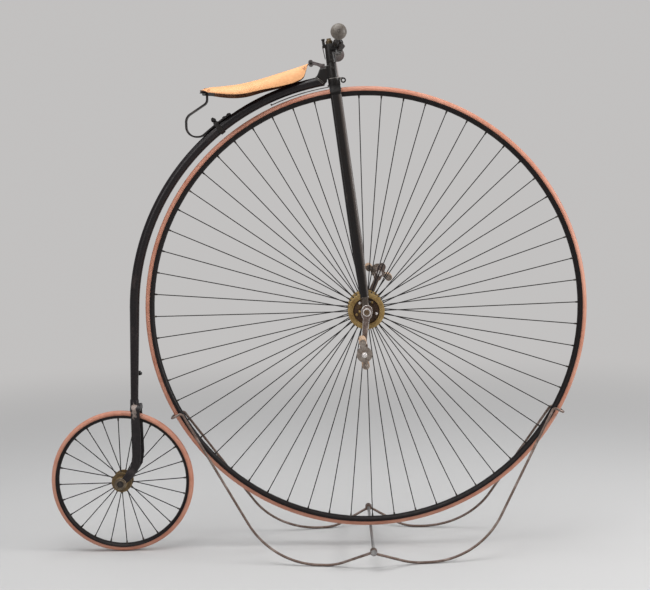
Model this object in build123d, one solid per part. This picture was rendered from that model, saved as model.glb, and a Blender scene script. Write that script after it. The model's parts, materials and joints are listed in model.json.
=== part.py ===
from build123d import *
import math
import os

os.makedirs("parts", exist_ok=True)

# High wheel bicycle on its wire display stand, in millimetres.
# Origin: on the floor, under the middle of the overall length and in the wheel plane.
# +X is the way it rides, +Z is up, and -Y is the rider's right-hand side.

# Wheels
FRONT_DIAMETER = 1320.8
FRONT_TYRE_SECTION = 22.0
FRONT_RIM_WIDTH = 26.0
FRONT_RIM_DEPTH = 16.4
FRONT_SPOKES = 60
FRONT_SPOKE_PHASE = 0.8
REAR_DIAMETER = 431.8
REAR_TYRE_SECTION = 21.0
REAR_RIM_WIDTH = 24.6
REAR_RIM_DEPTH = 12.9
RIM_LIP_DROP = 3.0
REAR_SPOKES = 24
REAR_SPOKE_PHASE = 2.0
SPOKE_DIAMETER = 2.9
REAR_TRAIL = 43.6

# Clearances
RUN_CLEAR = 0.05
SEAT_CLEAR = 0.15
MOVING_CLEAR = 5.2
HOOK_CLEAR = 6.0
HEAD_CLEAR = 1.0

# Stand
STAND_ROD_DIAMETER = 7.5
CROSSBAR_DIAMETER = 8.5
CROSSBAR_HALF_LENGTH = 258.0
CROSSBAR_FORWARD = 3.0
WHEEL_LIFT = 64.1
STAND_EYE_RADIUS = 10.0
STAND_EYE_THICKNESS = 9.0
REAR_EYE_Y = 238.0
FRONT_EYE_Y = 248.5
REAR_HEEL_X = 108.0
REAR_HEEL_Y = 199.0
REAR_KNEE_X = 290.0
FRONT_HEEL_X = 116.0
FRONT_HEEL_Y = 192.0
FRONT_KNEE_X = 312.0
STAND_KNEE_Y = 176.0
STAND_HEEL_BEND = 120.0
STAND_KNEE_BEND = 255.0
STAND_HOOK_BEND = 12.0
STAND_HOOK_DEPTH = 34.0
REAR_HOOK_ANGLE = 208.2
FRONT_HOOK_ANGLE = -28.7

# Backbone, which sets the distance between the wheels
BACKBONE_GAP = 32.0
BACKBONE_DROP = 5.5
BACKBONE_SETBACK = 1.0
BACKBONE_RADIUS = 14.5
BACKBONE_WALL = 1.6
BACKBONE_END_RADIUS = 11.25
BACKBONE_ARC_START = 98.0
BACKBONE_ARC_END = 177.9
REAR_CROWN_RISE = 1.7
REAR_CROWN_LAP = 7.0
STEP_RISE = 104.5

# Places that follow from the driving sizes
FRONT_RADIUS = FRONT_DIAMETER / 2
REAR_RADIUS = REAR_DIAMETER / 2
AXLE_Z = WHEEL_LIFT + FRONT_RADIUS
BACKBONE_ARC_RADIUS = FRONT_RADIUS + BACKBONE_GAP
ARC_END_COS = math.cos(math.radians(BACKBONE_ARC_END))
ARC_END_SIN = math.sin(math.radians(BACKBONE_ARC_END))
ARC_END_Z = AXLE_Z - BACKBONE_DROP + BACKBONE_ARC_RADIUS * ARC_END_SIN
REAR_CROWN_Z = REAR_DIAMETER + REAR_CROWN_RISE
STEP_Z = REAR_CROWN_Z + STEP_RISE
BACKBONE_TAPER_LENGTH = (REAR_CROWN_Z + REAR_CROWN_LAP - ARC_END_Z) / ARC_END_COS
BACKBONE_FOOT = BACKBONE_SETBACK - BACKBONE_ARC_RADIUS * ARC_END_COS + BACKBONE_TAPER_LENGTH * ARC_END_SIN
WHEELBASE = BACKBONE_FOOT + REAR_TRAIL
AXLE_X = (WHEELBASE + REAR_RADIUS - FRONT_RADIUS) / 2
REAR_AXLE_X = AXLE_X - WHEELBASE
CROSSBAR_X = AXLE_X + CROSSBAR_FORWARD
CROSSBAR_Z = WHEEL_LIFT - MOVING_CLEAR - CROSSBAR_DIAMETER / 2

# Front hub, from the wheel plane outwards
FLANGE_RADIUS = 54.0
FLANGE_RECESS_RADIUS = 39.0
FLANGE_RECESS_DEPTH = 6.0
FLANGE_INNER_Y = 47.0
FLANGE_OUTER_Y = 57.0
BARREL_RADIUS = 22.0
SPIGOT_RADIUS = 15.0
AXLE_RADIUS = 10.0
AXLE_END_RADIUS = 7.5
HOUSING_RADIUS = 18.0
HOUSING_WIDTH = 18.0

# Cranks and pedals
CRANK_THICKNESS = 12.0
CRANK_BOSS_LENGTH = 43.0
CRANK_BOSS_WIDTH = 31.0
CRANK_ARM_WIDTH = 20.0
CRANK_NECK_WIDTH = 14.0
CRANK_HEAD_WIDTH = 24.0
CRANK_HEAD_LENGTH = 58.0
CRANK_THROW = 110.0
CRANK_HEAD_OVERHANG = 33.0
CRANK_RIGHT_ANGLE = 264.0
CRANK_LEFT_ANGLE = 65.8
PIN_RADIUS = 6.0
PIN_SHAFT_RADIUS = 5.5
PIN_NUT_THICKNESS = 4.0
PIN_NUT_RADIUS = 9.0
PIN_COLLAR_THICKNESS = 4.3
PIN_CAP_RADIUS = 8.0
PIN_CAP_THICKNESS = 7.0
PEDAL_LENGTH = 96.0
PEDAL_PLATE_THICKNESS = 4.0
PEDAL_DISC_RADIUS = 22.5
PEDAL_LOBE_RADIUS = 9.5
PEDAL_LINK_WIDTH = 12.0
PEDAL_BARREL_RADIUS = 10.5
PEDAL_ROLL_RADIUS = 11.0
PEDAL_ROLL_SPACING = 67.0
PEDAL_RIGHT_ANGLE = 96.3
PEDAL_LEFT_ANGLE = -27.0

# Front fork and steering head, measured along the steering line from the front axle
HEAD_LEAN = 6.85
CROWN_BOSS_RADIUS = 17.8
CROWN_HEIGHT = 18.0
CROWN_DROP = 26.0
BLADE_WIDTH = 33.0
BLADE_TOP_Y = 26.0
BLADE_TOP_THICKNESS = 14.0
BLADE_KNEE_S = 190.0
BLADE_FOOT_S = 43.5
BLADE_FOOT_WIDTH = 24.0
BLADE_FOOT_THICKNESS = 13.0
BLADE_WALL = 2.0
STEM_RADIUS = 10.0
BAND_HEIGHT = 6.0
BAND_RADIUS = 17.5
SOCKET_HEIGHT = 44.5
SOCKET_BOTTOM_RADIUS = 16.2
SOCKET_TOP_RADIUS = 15.0
LUG_HEIGHT = 54.0
LUG_TOP_RADIUS = 12.8
NOSE_SEAT_DROP = 12.5
NOSE_SEAT_Q = 20.0
NOSE_SEAT_LENGTH = 15.5
NOSE_ARM_WIDTH = 14.0
NOSE_LOOP_Q = 60.5
NOSE_LOOP_RISE = 19.5
HEAD_SCREW_RADIUS = 7.5
HEAD_SCREW_HEIGHT = 12.0
SPRING_KNOB_RADIUS = 4.0
SPRING_KNOB_HEIGHT = 15.0
LAMP_EYE_REACH = 27.4
LAMP_EYE_DROP = 6.0
LAMP_EYE_OUTER_RADIUS = 8.0
LAMP_EYE_HOLE_RADIUS = 4.0
LAMP_EYE_THICKNESS = 5.0

# Handlebar, grips and brake
BAR_REACH = 26.5
BAR_DROP = 3.9
BAR_RADIUS = 12.0
BAR_END_RADIUS = 8.0
BAR_HALF_LENGTH = 325.0
EAR_RADIUS = 15.5
EAR_INNER_Y = 8.0
EAR_OUTER_Y = 20.0
GRIP_LENGTH = 95.0
GRIP_RADIUS = 22.0
GRIP_NECK_RADIUS = 12.5
LEVER_LENGTH = 190.0
LEVER_THICKNESS = 5.0
LEVER_WIDTH = 16.0
SPOON_THICKNESS = 2.0
SPOON_WIDTH = 18.0
SPOON_ARM_WIDTH = 7.0
SPOON_START_ANGLE = 104.5
SPOON_END_ANGLE = 113.2

# Neck and rear fork
COLLAR_RADIUS = 17.5
COLLAR_THICKNESS = 4.0
COLLAR_TILT = 45.0
COLLAR_REACH = 42.5
NECK_WIDTH = 24.0
REAR_BLADE_FORWARD = 5.6
REAR_BLADE_WIDTH = 27.0
REAR_BLADE_THICKNESS = 11.0
REAR_BLADE_TOP_Y = 23.8
REAR_BLADE_FOOT_Y = 38.0
REAR_EYE_RADIUS = 13.0
REAR_AXLE_RADIUS = 5.0
REAR_FLANGE_RADIUS = 30.0
REAR_FLANGE_INNER_Y = 17.0
REAR_FLANGE_OUTER_Y = 22.0
REAR_HUB_STEP_RADIUS = 17.0
REAR_HUB_HALF_WIDTH = 27.6
REAR_HUB_BARREL_RADIUS = 12.0
STEP_LENGTH = 42.0
STEP_WIDTH = 33.0
STEP_THICKNESS = 6.0

# Saddle and its spring
LEATHER_THICKNESS = 4.0
PLATE_THICKNESS = 3.0
LEAF_THICKNESS = 5.0
LEAF_WIDTH = 24.0
SPRING_LAY_START = 129.6
SPRING_LAY_END = 123.1
CLIP_ANGLE = 127.3
CLIP_WIDTH = 14.0
CLIP_WALL = 3.0

# Fork heights along the steering line, from the wheel upwards
ARCH_RADIUS = FRONT_RIM_WIDTH / 2 + MOVING_CLEAR + 0.4
ARCH_S = FRONT_RADIUS - FRONT_TYRE_SECTION / 2
BAND_S = FRONT_RADIUS + MOVING_CLEAR + CROWN_HEIGHT
CROWN_S = BAND_S - CROWN_HEIGHT - CROWN_DROP
STEM_FOOT_S = ARCH_S + ARCH_RADIUS + 3.0
SOCKET_S = BAND_S + BAND_HEIGHT + HEAD_CLEAR
LUG_S = SOCKET_S + SOCKET_HEIGHT + HEAD_CLEAR
LUG_TOP_S = LUG_S + LUG_HEIGHT
BAR_S = LUG_TOP_S - BAR_DROP
NOSE_SEAT_S = SOCKET_S + SOCKET_HEIGHT - NOSE_SEAT_DROP

# Places across the front hub
HOUSING_Y = FLANGE_OUTER_Y + MOVING_CLEAR
CRANK_Y = HOUSING_Y + HOUSING_WIDTH + MOVING_CLEAR
BLADE_FOOT_Y = HOUSING_Y + HOUSING_WIDTH / 2
PEDAL_Y = CRANK_Y + CRANK_THICKNESS + PIN_COLLAR_THICKNESS + 1.0

# Frames: the front axle, the backbone's arc, the leaning steering line and the rear axle
FRONT_AXLE = Location((AXLE_X, 0, AXLE_Z))
ARC_CENTRE = Location((AXLE_X - BACKBONE_SETBACK, 0, AXLE_Z - BACKBONE_DROP))
STEERING = Location((AXLE_X, 0, AXLE_Z), (0, -HEAD_LEAN, 0))
REAR_AXLE = Location((REAR_AXLE_X, 0, REAR_RADIUS))
SIDES = {"right": -1, "left": 1}


def polar(radius, degrees):
    """Point in a wheel's plane, from its axle, as forward and upward distances."""
    return radius * math.cos(math.radians(degrees)), radius * math.sin(math.radians(degrees))


def turned(degrees):
    """Turn about the axle line, so that +X points at this angle above the front."""
    return Rot(0, -degrees, 0)


def across(radius, y_a, y_b):
    """Round bar along Y between two distances from the wheel plane."""
    middle = (y_a + y_b) / 2
    return Pos(0, middle, 0) * Rot(90, 0, 0) * Cylinder(radius, abs(y_b - y_a))


def spun(*outline):
    """Ring or shaft turned about the Y axis from points of radius and y."""
    return revolve(make_face(Polyline(*outline, close=True)), Axis.Y)


def tyre(outer_radius, section):
    """Round solid rubber tyre."""
    centre = outer_radius - section / 2
    return revolve(Pos(centre, 0) * Circle(section / 2), Axis.Y)


def wire_wheel(outer_radius, section, rim_width, rim_depth, flange, spokes, phase):
    """Crescent rim with its direct spokes, which end at the flanges' edges."""
    flange_radius, flange_y = flange
    centre = outer_radius - section / 2
    rim_inner = centre - rim_depth
    hollow = section / 2 + 2 * SEAT_CLEAR
    half = rim_width / 2
    lip = centre - RIM_LIP_DROP
    bed = math.sqrt(hollow ** 2 - RIM_LIP_DROP ** 2)
    rim_face = make_face([
        ThreePointArc((lip, -half), (rim_inner, 0), (lip, half)),
        Line((lip, half), (lip, bed)),
        ThreePointArc((lip, bed), (centre - hollow, 0), (lip, -bed)),
        Line((lip, -bed), (lip, -half)),
    ])
    wheel = revolve(rim_face, Axis.Y)
    spoke_list = []
    for number in range(spokes):
        side = -1 if number % 2 == 0 else 1
        start = Vector(flange_radius + 2 * SEAT_CLEAR, side * flange_y, 0)
        end = Vector(rim_inner + 2.5, side * 2.5, 0)
        run = end - start
        rod = Cylinder(SPOKE_DIAMETER / 2, run.length, align=(Align.CENTER, Align.CENTER, Align.MIN))
        rod = Plane(origin=start, z_dir=run) * rod
        spoke_list.append(turned(phase + number * 360 / spokes) * rod)
    return wheel + spoke_list


def front_flange(side):
    """Brass hub flange, dished on its outer face."""
    inner = FLANGE_INNER_Y + SEAT_CLEAR
    web = FLANGE_OUTER_Y - FLANGE_RECESS_DEPTH
    bore = SPIGOT_RADIUS + SEAT_CLEAR
    outline = [
        (bore, inner),
        (FLANGE_RADIUS, inner),
        (FLANGE_RADIUS, FLANGE_OUTER_Y),
        (FLANGE_RECESS_RADIUS, FLANGE_OUTER_Y),
        (FLANGE_RECESS_RADIUS, web),
        (bore, web),
    ]
    return spun(*[(radius, side * y) for radius, y in outline])


def front_axle():
    """Axle shaft with the hub barrel that carries both flanges."""
    web = FLANGE_OUTER_Y - FLANGE_RECESS_DEPTH
    outer = CRANK_Y + CRANK_THICKNESS
    steps = [
        (BARREL_RADIUS, FLANGE_INNER_Y),
        (SPIGOT_RADIUS, web + 3.0),
        (AXLE_RADIUS, CRANK_Y - 1.0),
        (AXLE_END_RADIUS, outer + 3.0),
    ]
    shaft = across(BARREL_RADIUS, -FLANGE_INNER_Y, FLANGE_INNER_Y)
    for radius, reach in steps[1:]:
        shaft += across(radius, -reach, reach)
    return shaft


def crank(side, degrees):
    """Flat crank with a boss on the axle and a wide head for the pedal pin."""
    reach = CRANK_THROW + CRANK_HEAD_OVERHANG
    arm_length = reach - CRANK_HEAD_LENGTH / 2
    outline = SlotOverall(CRANK_BOSS_LENGTH, CRANK_BOSS_WIDTH)
    outline += make_face(Polyline(
        (0, -CRANK_ARM_WIDTH / 2), (arm_length, -CRANK_NECK_WIDTH / 2),
        (arm_length, CRANK_NECK_WIDTH / 2), (0, CRANK_ARM_WIDTH / 2), close=True))
    outline += Pos(arm_length, 0) * SlotOverall(CRANK_HEAD_LENGTH, CRANK_HEAD_WIDTH)
    outline -= Circle(AXLE_END_RADIUS + SEAT_CLEAR)
    outline -= Pos(CRANK_THROW, 0) * Circle(PIN_RADIUS + SEAT_CLEAR)
    plate = extrude(Plane.XZ * outline, CRANK_THICKNESS / 2, both=True)
    middle = side * (CRANK_Y + CRANK_THICKNESS / 2)
    return FRONT_AXLE * turned(degrees) * Pos(0, middle, 0) * plate


def pedal_place(degrees):
    """Centre line of a pedal pin on its crank."""
    forward, up = polar(CRANK_THROW, degrees)
    return Location((AXLE_X + forward, 0, AXLE_Z + up))


def pedal_pin(side):
    """Pedal pin: inner nut, shank in the crank, collar, shaft and end nut."""
    crank_outer = CRANK_Y + CRANK_THICKNESS
    shaft_end = PEDAL_Y + PEDAL_LENGTH + 1.0
    steps = [
        (PIN_NUT_RADIUS, CRANK_Y - PIN_NUT_THICKNESS, CRANK_Y - SEAT_CLEAR),
        (PIN_RADIUS, CRANK_Y - SEAT_CLEAR, crank_outer + SEAT_CLEAR),
        (PIN_NUT_RADIUS, crank_outer + SEAT_CLEAR, crank_outer + PIN_COLLAR_THICKNESS),
        (PIN_SHAFT_RADIUS, crank_outer + PIN_COLLAR_THICKNESS, shaft_end),
        (PIN_CAP_RADIUS, shaft_end, shaft_end + PIN_CAP_THICKNESS),
    ]
    pin = None
    for radius, y_a, y_b in steps:
        bar = across(radius, side * y_a, side * y_b)
        pin = bar if pin is None else pin + bar
    return pin


def pedal_frame(side):
    """Pedal barrel with a slim inner end plate and a broad round outer one."""
    end = PEDAL_Y + PEDAL_LENGTH
    half = PEDAL_ROLL_SPACING / 2
    link = Rectangle(PEDAL_ROLL_SPACING, PEDAL_LINK_WIDTH)
    link += [Pos(x, 0) * Circle(PEDAL_LOBE_RADIUS) for x in (-half, half)]
    disc = Circle(PEDAL_DISC_RADIUS) + link
    frame = across(PEDAL_BARREL_RADIUS, side * PEDAL_Y, side * end)
    half_plate = PEDAL_PLATE_THICKNESS / 2
    for outline, y in ((link, PEDAL_Y + half_plate), (disc, end - half_plate)):
        frame += Pos(0, side * y, 0) * extrude(Plane.XZ * outline, half_plate, both=True)
    return frame - across(PIN_SHAFT_RADIUS + RUN_CLEAR, 0, side * 2 * end)


def pedal_rubbers(side):
    """Pair of rubber rolls between the end plates."""
    y_a = side * (PEDAL_Y + PEDAL_PLATE_THICKNESS + SEAT_CLEAR)
    y_b = side * (PEDAL_Y + PEDAL_LENGTH - PEDAL_PLATE_THICKNESS - SEAT_CLEAR)
    roll = across(PEDAL_ROLL_RADIUS, y_a, y_b)
    half = PEDAL_ROLL_SPACING / 2
    return Pos(half, 0, 0) * roll + Pos(-half, 0, 0) * roll


def fork_blade(side):
    """Hollow fork blade, flat-sided, drawn in and narrowed towards the axle."""
    knee_share = (CROWN_S - BLADE_KNEE_S) / (CROWN_S - BLADE_FOOT_S)
    knee_y = BLADE_TOP_Y + (BLADE_FOOT_Y - BLADE_TOP_Y) * knee_share
    # height, distance from the wheel plane, fore-and-aft width, thickness
    sections = [
        (CROWN_S, BLADE_TOP_Y, BLADE_WIDTH, BLADE_TOP_THICKNESS),
        (BLADE_KNEE_S, knee_y, BLADE_WIDTH, (BLADE_TOP_THICKNESS + BLADE_FOOT_THICKNESS) / 2),
        (BLADE_FOOT_S, BLADE_FOOT_Y, BLADE_FOOT_WIDTH, BLADE_FOOT_THICKNESS),
    ]

    def skin(inset):
        faces = []
        for height, y, width, thickness in sections:
            slot = SlotOverall(width - 2 * inset, thickness - 2 * inset)
            faces.append(Pos(0, side * y, height) * slot)
        return loft(faces, ruled=True)

    return skin(0) - skin(BLADE_WALL)


def fork_crown():
    """Forged crown: two legs over the tyre, sloping up to a round boss bored for the stem."""
    align = (Align.CENTER, Align.CENTER, Align.MIN)
    outer = BLADE_TOP_Y + BLADE_TOP_THICKNESS / 2
    boss = CROWN_BOSS_RADIUS - 1.0
    edge = CROWN_S + 8.0
    waist = ((outer + boss) / 2 - 3.0, (edge + STEM_FOOT_S) / 2 - 1.8)
    outline = make_face([
        Line((ARCH_RADIUS, CROWN_S), (outer, CROWN_S)),
        Line((outer, CROWN_S), (outer, edge)),
        ThreePointArc((outer, edge), waist, (boss, STEM_FOOT_S + 1.0)),
        Line((boss, STEM_FOOT_S + 1.0), (-boss, STEM_FOOT_S + 1.0)),
        ThreePointArc((-boss, STEM_FOOT_S + 1.0), (-waist[0], waist[1]), (-outer, edge)),
        Line((-outer, edge), (-outer, CROWN_S)),
        Line((-outer, CROWN_S), (-ARCH_RADIUS, CROWN_S)),
        Line((-ARCH_RADIUS, CROWN_S), (-ARCH_RADIUS, ARCH_S)),
        ThreePointArc((-ARCH_RADIUS, ARCH_S), (0, ARCH_S + ARCH_RADIUS), (ARCH_RADIUS, ARCH_S)),
        Line((ARCH_RADIUS, ARCH_S), (ARCH_RADIUS, CROWN_S)),
    ])
    crown = extrude(Plane.YZ * outline, BLADE_WIDTH / 2, both=True)
    plan = RectangleRounded(BLADE_WIDTH, 2 * outer, BLADE_TOP_THICKNESS / 2 - 0.1)
    crown &= Pos(0, 0, CROWN_S - 1.0) * extrude(plan, CROWN_DROP + CROWN_HEIGHT)
    boss_foot = ARCH_S + ARCH_RADIUS + 0.6
    crown += Pos(0, 0, boss_foot) * Cylinder(CROWN_BOSS_RADIUS, BAND_S - boss_foot, align=align)
    return crown - Pos(0, 0, STEM_FOOT_S) * Cylinder(STEM_RADIUS + SEAT_CLEAR, CROWN_HEIGHT, align=align)


def steering_stem():
    """Round stem from the crown's bore up through the socket and the head lug."""
    bottom = STEM_FOOT_S + SEAT_CLEAR
    top = LUG_TOP_S - 1.0
    stem = Cylinder(STEM_RADIUS, top - bottom, align=(Align.CENTER, Align.CENTER, Align.MIN))
    return Pos(0, 0, bottom) * stem


def lamp_eye():
    """Band round the head, on the crown, with an eye in front for a lamp bracket."""
    low = BAND_S
    band = Pos(0, 0, low) * Cylinder(BAND_RADIUS, BAND_HEIGHT, align=(Align.CENTER, Align.CENTER, Align.MIN))
    middle = low + BAND_HEIGHT / 2
    neck = Pos(LAMP_EYE_REACH / 2, 0, middle) * Box(LAMP_EYE_REACH, LAMP_EYE_THICKNESS, BAND_HEIGHT - 0.6)
    half = LAMP_EYE_THICKNESS / 2
    ring = Pos(LAMP_EYE_REACH, 0, middle - LAMP_EYE_DROP)
    eye = ring * across(LAMP_EYE_OUTER_RADIUS, -half, half)
    hole = ring * across(LAMP_EYE_HOLE_RADIUS, -2 * half, 2 * half)
    bore = Pos(0, 0, middle) * Cylinder(STEM_RADIUS + SEAT_CLEAR, 2 * BAND_HEIGHT)
    return band + neck + eye - hole - bore


def bearing_housing(side):
    """Bearing case round the axle with a lug and a foot plate for the blade."""
    y_in = side * HOUSING_Y
    y_out = side * (HOUSING_Y + HOUSING_WIDTH)
    middle = side * BLADE_FOOT_Y
    case = across(HOUSING_RADIUS, y_in, y_out)
    lug = loft([
        Pos(0, middle, 4.0) * SlotOverall(BLADE_FOOT_WIDTH - 3.0, BLADE_FOOT_THICKNESS),
        Pos(0, middle, BLADE_FOOT_S - 3.0) * SlotOverall(BLADE_FOOT_WIDTH - 4.0, BLADE_FOOT_THICKNESS - 1.0),
    ], ruled=True)
    foot = SlotOverall(BLADE_FOOT_WIDTH + 4.0, BLADE_FOOT_THICKNESS + 3.0)
    foot = Pos(0, middle, BLADE_FOOT_S - 3.0) * extrude(foot, 3.0)
    bore = across(AXLE_RADIUS + RUN_CLEAR, y_in - side, y_out + side)
    return case + lug + foot - bore


def head_lug():
    """Head lug above the socket, with two ears in front that hold the handlebar."""
    height = LUG_HEIGHT
    body = Cone(SOCKET_TOP_RADIUS, LUG_TOP_RADIUS, height, align=(Align.CENTER, Align.CENTER, Align.MIN))
    body = Pos(0, 0, LUG_S) * body
    eye_line = Pos(BAR_REACH, 0, BAR_S)
    for side in SIDES.values():
        y_a = side * EAR_INNER_Y
        y_b = side * EAR_OUTER_Y
        ear = eye_line * across(EAR_RADIUS, y_a, y_b)
        ear += Pos(BAR_REACH / 2, (y_a + y_b) / 2, BAR_S - 6.0) * Box(BAR_REACH, EAR_OUTER_Y - EAR_INNER_Y, 18.0)
        body += ear
    body += Pos(BAR_REACH / 3, 0, BAR_S - 10.0) * Box(BAR_REACH * 0.6, 2 * EAR_INNER_Y + 2.0, 26.0)
    body -= eye_line * across(BAR_RADIUS + SEAT_CLEAR, -2 * EAR_OUTER_Y, 2 * EAR_OUTER_Y)
    body -= Pos(0, 0, LUG_S) * Cylinder(STEM_RADIUS + SEAT_CLEAR, 3 * LUG_HEIGHT)
    return body


def head_cap():
    """Brass adjusting screw on top of the head, with its lock nut."""
    align = (Align.CENTER, Align.CENTER, Align.MIN)
    cap = Pos(1.5, 0, LUG_TOP_S + SEAT_CLEAR) * Cylinder(HEAD_SCREW_RADIUS + 2.5, 5.0, align=align)
    cap += Pos(1.5, 0, LUG_TOP_S + 4.0) * Cone(HEAD_SCREW_RADIUS, HEAD_SCREW_RADIUS - 1.0, HEAD_SCREW_HEIGHT, align=align)
    return cap


def handlebar():
    """Straight bar, thick in the ears and tapered to its ends."""
    end = BAR_HALF_LENGTH - 8.0
    grip_start = BAR_HALF_LENGTH - GRIP_LENGTH
    half = [
        (BAR_RADIUS, 0.0),
        (BAR_RADIUS, EAR_OUTER_Y + 6.0),
        (BAR_RADIUS - 2.0, EAR_OUTER_Y + 12.0),
        (BAR_END_RADIUS, grip_start),
        (BAR_END_RADIUS, end),
    ]
    points = [(0.0, -end)]
    points += [(radius, -y) for radius, y in reversed(half)]
    points += half[1:]
    points.append((0.0, end))
    return Pos(BAR_REACH, 0, BAR_S) * spun(*points)


def grip(side):
    """Pear-shaped handle, closed at its outer end."""
    start = BAR_HALF_LENGTH - GRIP_LENGTH
    widest = BAR_HALF_LENGTH - GRIP_RADIUS
    bore = BAR_END_RADIUS + SEAT_CLEAR
    bottom = BAR_HALF_LENGTH - 8.0 + SEAT_CLEAR
    waist = (start + widest) / 2
    outline = make_face([
        Line((0, bottom), (bore, bottom)),
        Line((bore, bottom), (bore, start)),
        Line((bore, start), (GRIP_NECK_RADIUS, start)),
        ThreePointArc((GRIP_NECK_RADIUS, start), (GRIP_NECK_RADIUS + 3.4, waist), (GRIP_RADIUS, widest)),
        CenterArc((0, widest), GRIP_RADIUS, 0, 90),
        Line((0, widest + GRIP_RADIUS), (0, bottom)),
    ])
    handle = revolve(outline, Axis.Y)
    if side < 0:
        handle = Rot(180, 0, 0) * handle
    return Pos(BAR_REACH, 0, BAR_S) * handle


def brake_lever():
    """Hand lever below the right half of the bar, on a pin under the ears."""
    drop = EAR_RADIUS + LEVER_THICKNESS / 2 + SEAT_CLEAR
    tip_width = LEVER_WIDTH * 0.55
    plan = make_face(Polyline(
        (LEVER_WIDTH / 2, EAR_OUTER_Y),
        (LEVER_WIDTH / 2, -EAR_OUTER_Y),
        (LEVER_WIDTH / 2 + 6.0, -LEVER_LENGTH / 2),
        (tip_width / 2, -LEVER_LENGTH),
        (-tip_width / 2, -LEVER_LENGTH),
        (-LEVER_WIDTH / 2 + 6.0, -LEVER_LENGTH / 2),
        (-LEVER_WIDTH / 2, -EAR_OUTER_Y),
        (-LEVER_WIDTH / 2, EAR_OUTER_Y),
        close=True,
    ))
    plan += Pos(0, -LEVER_LENGTH) * Circle(tip_width / 2)
    blade = extrude(plan, LEVER_THICKNESS / 2, both=True)
    return Pos(BAR_REACH + 3.0, 0, BAR_S - drop) * blade


def brake_spring():
    """Flat return spring down the back of the head lug, from a block at its top."""
    top = LUG_TOP_S - 6.0
    foot = LUG_S + 12.0
    foot_q = -(SOCKET_TOP_RADIUS + 0.6)
    top_q = -(LUG_TOP_RADIUS + 5.5)
    strip = make_face(Polyline(
        (top_q, top),
        (top_q - 2.5, top),
        (foot_q - 2.0, foot),
        (foot_q, foot),
        close=True,
    ))
    strip = extrude(Plane.XZ * strip, 5.0, both=True)
    align = (Align.CENTER, Align.CENTER, Align.MIN)
    block = Pos(top_q + 3.0, 0, top + 0.6) * Box(7.5, 12.0, 9.0)
    block -= Pos(0, 0, LUG_S) * Cone(
        SOCKET_TOP_RADIUS + SEAT_CLEAR, LUG_TOP_RADIUS + SEAT_CLEAR, LUG_HEIGHT, align=align)
    knob = Pos(-LUG_TOP_RADIUS - 2.6, 0, LUG_TOP_S + SEAT_CLEAR) * Cylinder(
        SPRING_KNOB_RADIUS, SPRING_KNOB_HEIGHT, align=align)
    saddle = Pos(top_q + 3.0, 0, LUG_TOP_S + SEAT_CLEAR) * Box(8.0, 10.0, 4.0, align=align)
    riser = Pos(top_q + 0.4, 0, top) * Box(2.4, 10.0, 8.0, align=align)
    return strip + block + riser + saddle + knob


def brake_spoon():
    """Thin brake spoon over the tyre behind the head, on a strip from the crown's back."""
    inner = FRONT_RADIUS + MOVING_CLEAR
    middle = inner + SPOON_THICKNESS / 2
    angle = SPOON_END_ANGLE - SPOON_START_ANGLE
    leaf = Pos(middle, 0) * Rectangle(SPOON_THICKNESS, SPOON_WIDTH)
    leaf = turned(SPOON_END_ANGLE - HEAD_LEAN) * revolve(leaf, Axis.Y, revolution_arc=angle)
    strip_angle = SPOON_START_ANGLE + 1.0 - HEAD_LEAN
    strip = Pos(middle, 0) * Rectangle(SPOON_THICKNESS, SPOON_ARM_WIDTH)
    strip = turned(strip_angle) * revolve(strip, Axis.Y, revolution_arc=strip_angle - 90.0)
    strip -= Pos(0, 0, middle) * Box(2 * CROWN_BOSS_RADIUS + 2 * SEAT_CLEAR, 80.0, 120.0)
    seat = Pos(-CROWN_BOSS_RADIUS - 2.8, 0, inner + 0.6)
    seat = seat * Box(10.0, SPOON_ARM_WIDTH + 3.0, 6.0, align=(Align.MIN, Align.CENTER, Align.MIN))
    seat -= Pos(0, 0, inner) * Cylinder(CROWN_BOSS_RADIUS + SEAT_CLEAR, 30.0)
    tip_q, tip_s = polar(middle, SPOON_END_ANGLE - HEAD_LEAN)
    tick = Pos(tip_q, 0, tip_s) * turned(SPOON_END_ANGLE - HEAD_LEAN + 90.0) * Rot(0, 7.0, 0)
    tick = tick * Pos(2.4, 0, 0) * Box(6.0, SPOON_WIDTH - 1.0, SPOON_THICKNESS - 0.4)
    return leaf + strip + seat + tick


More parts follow.
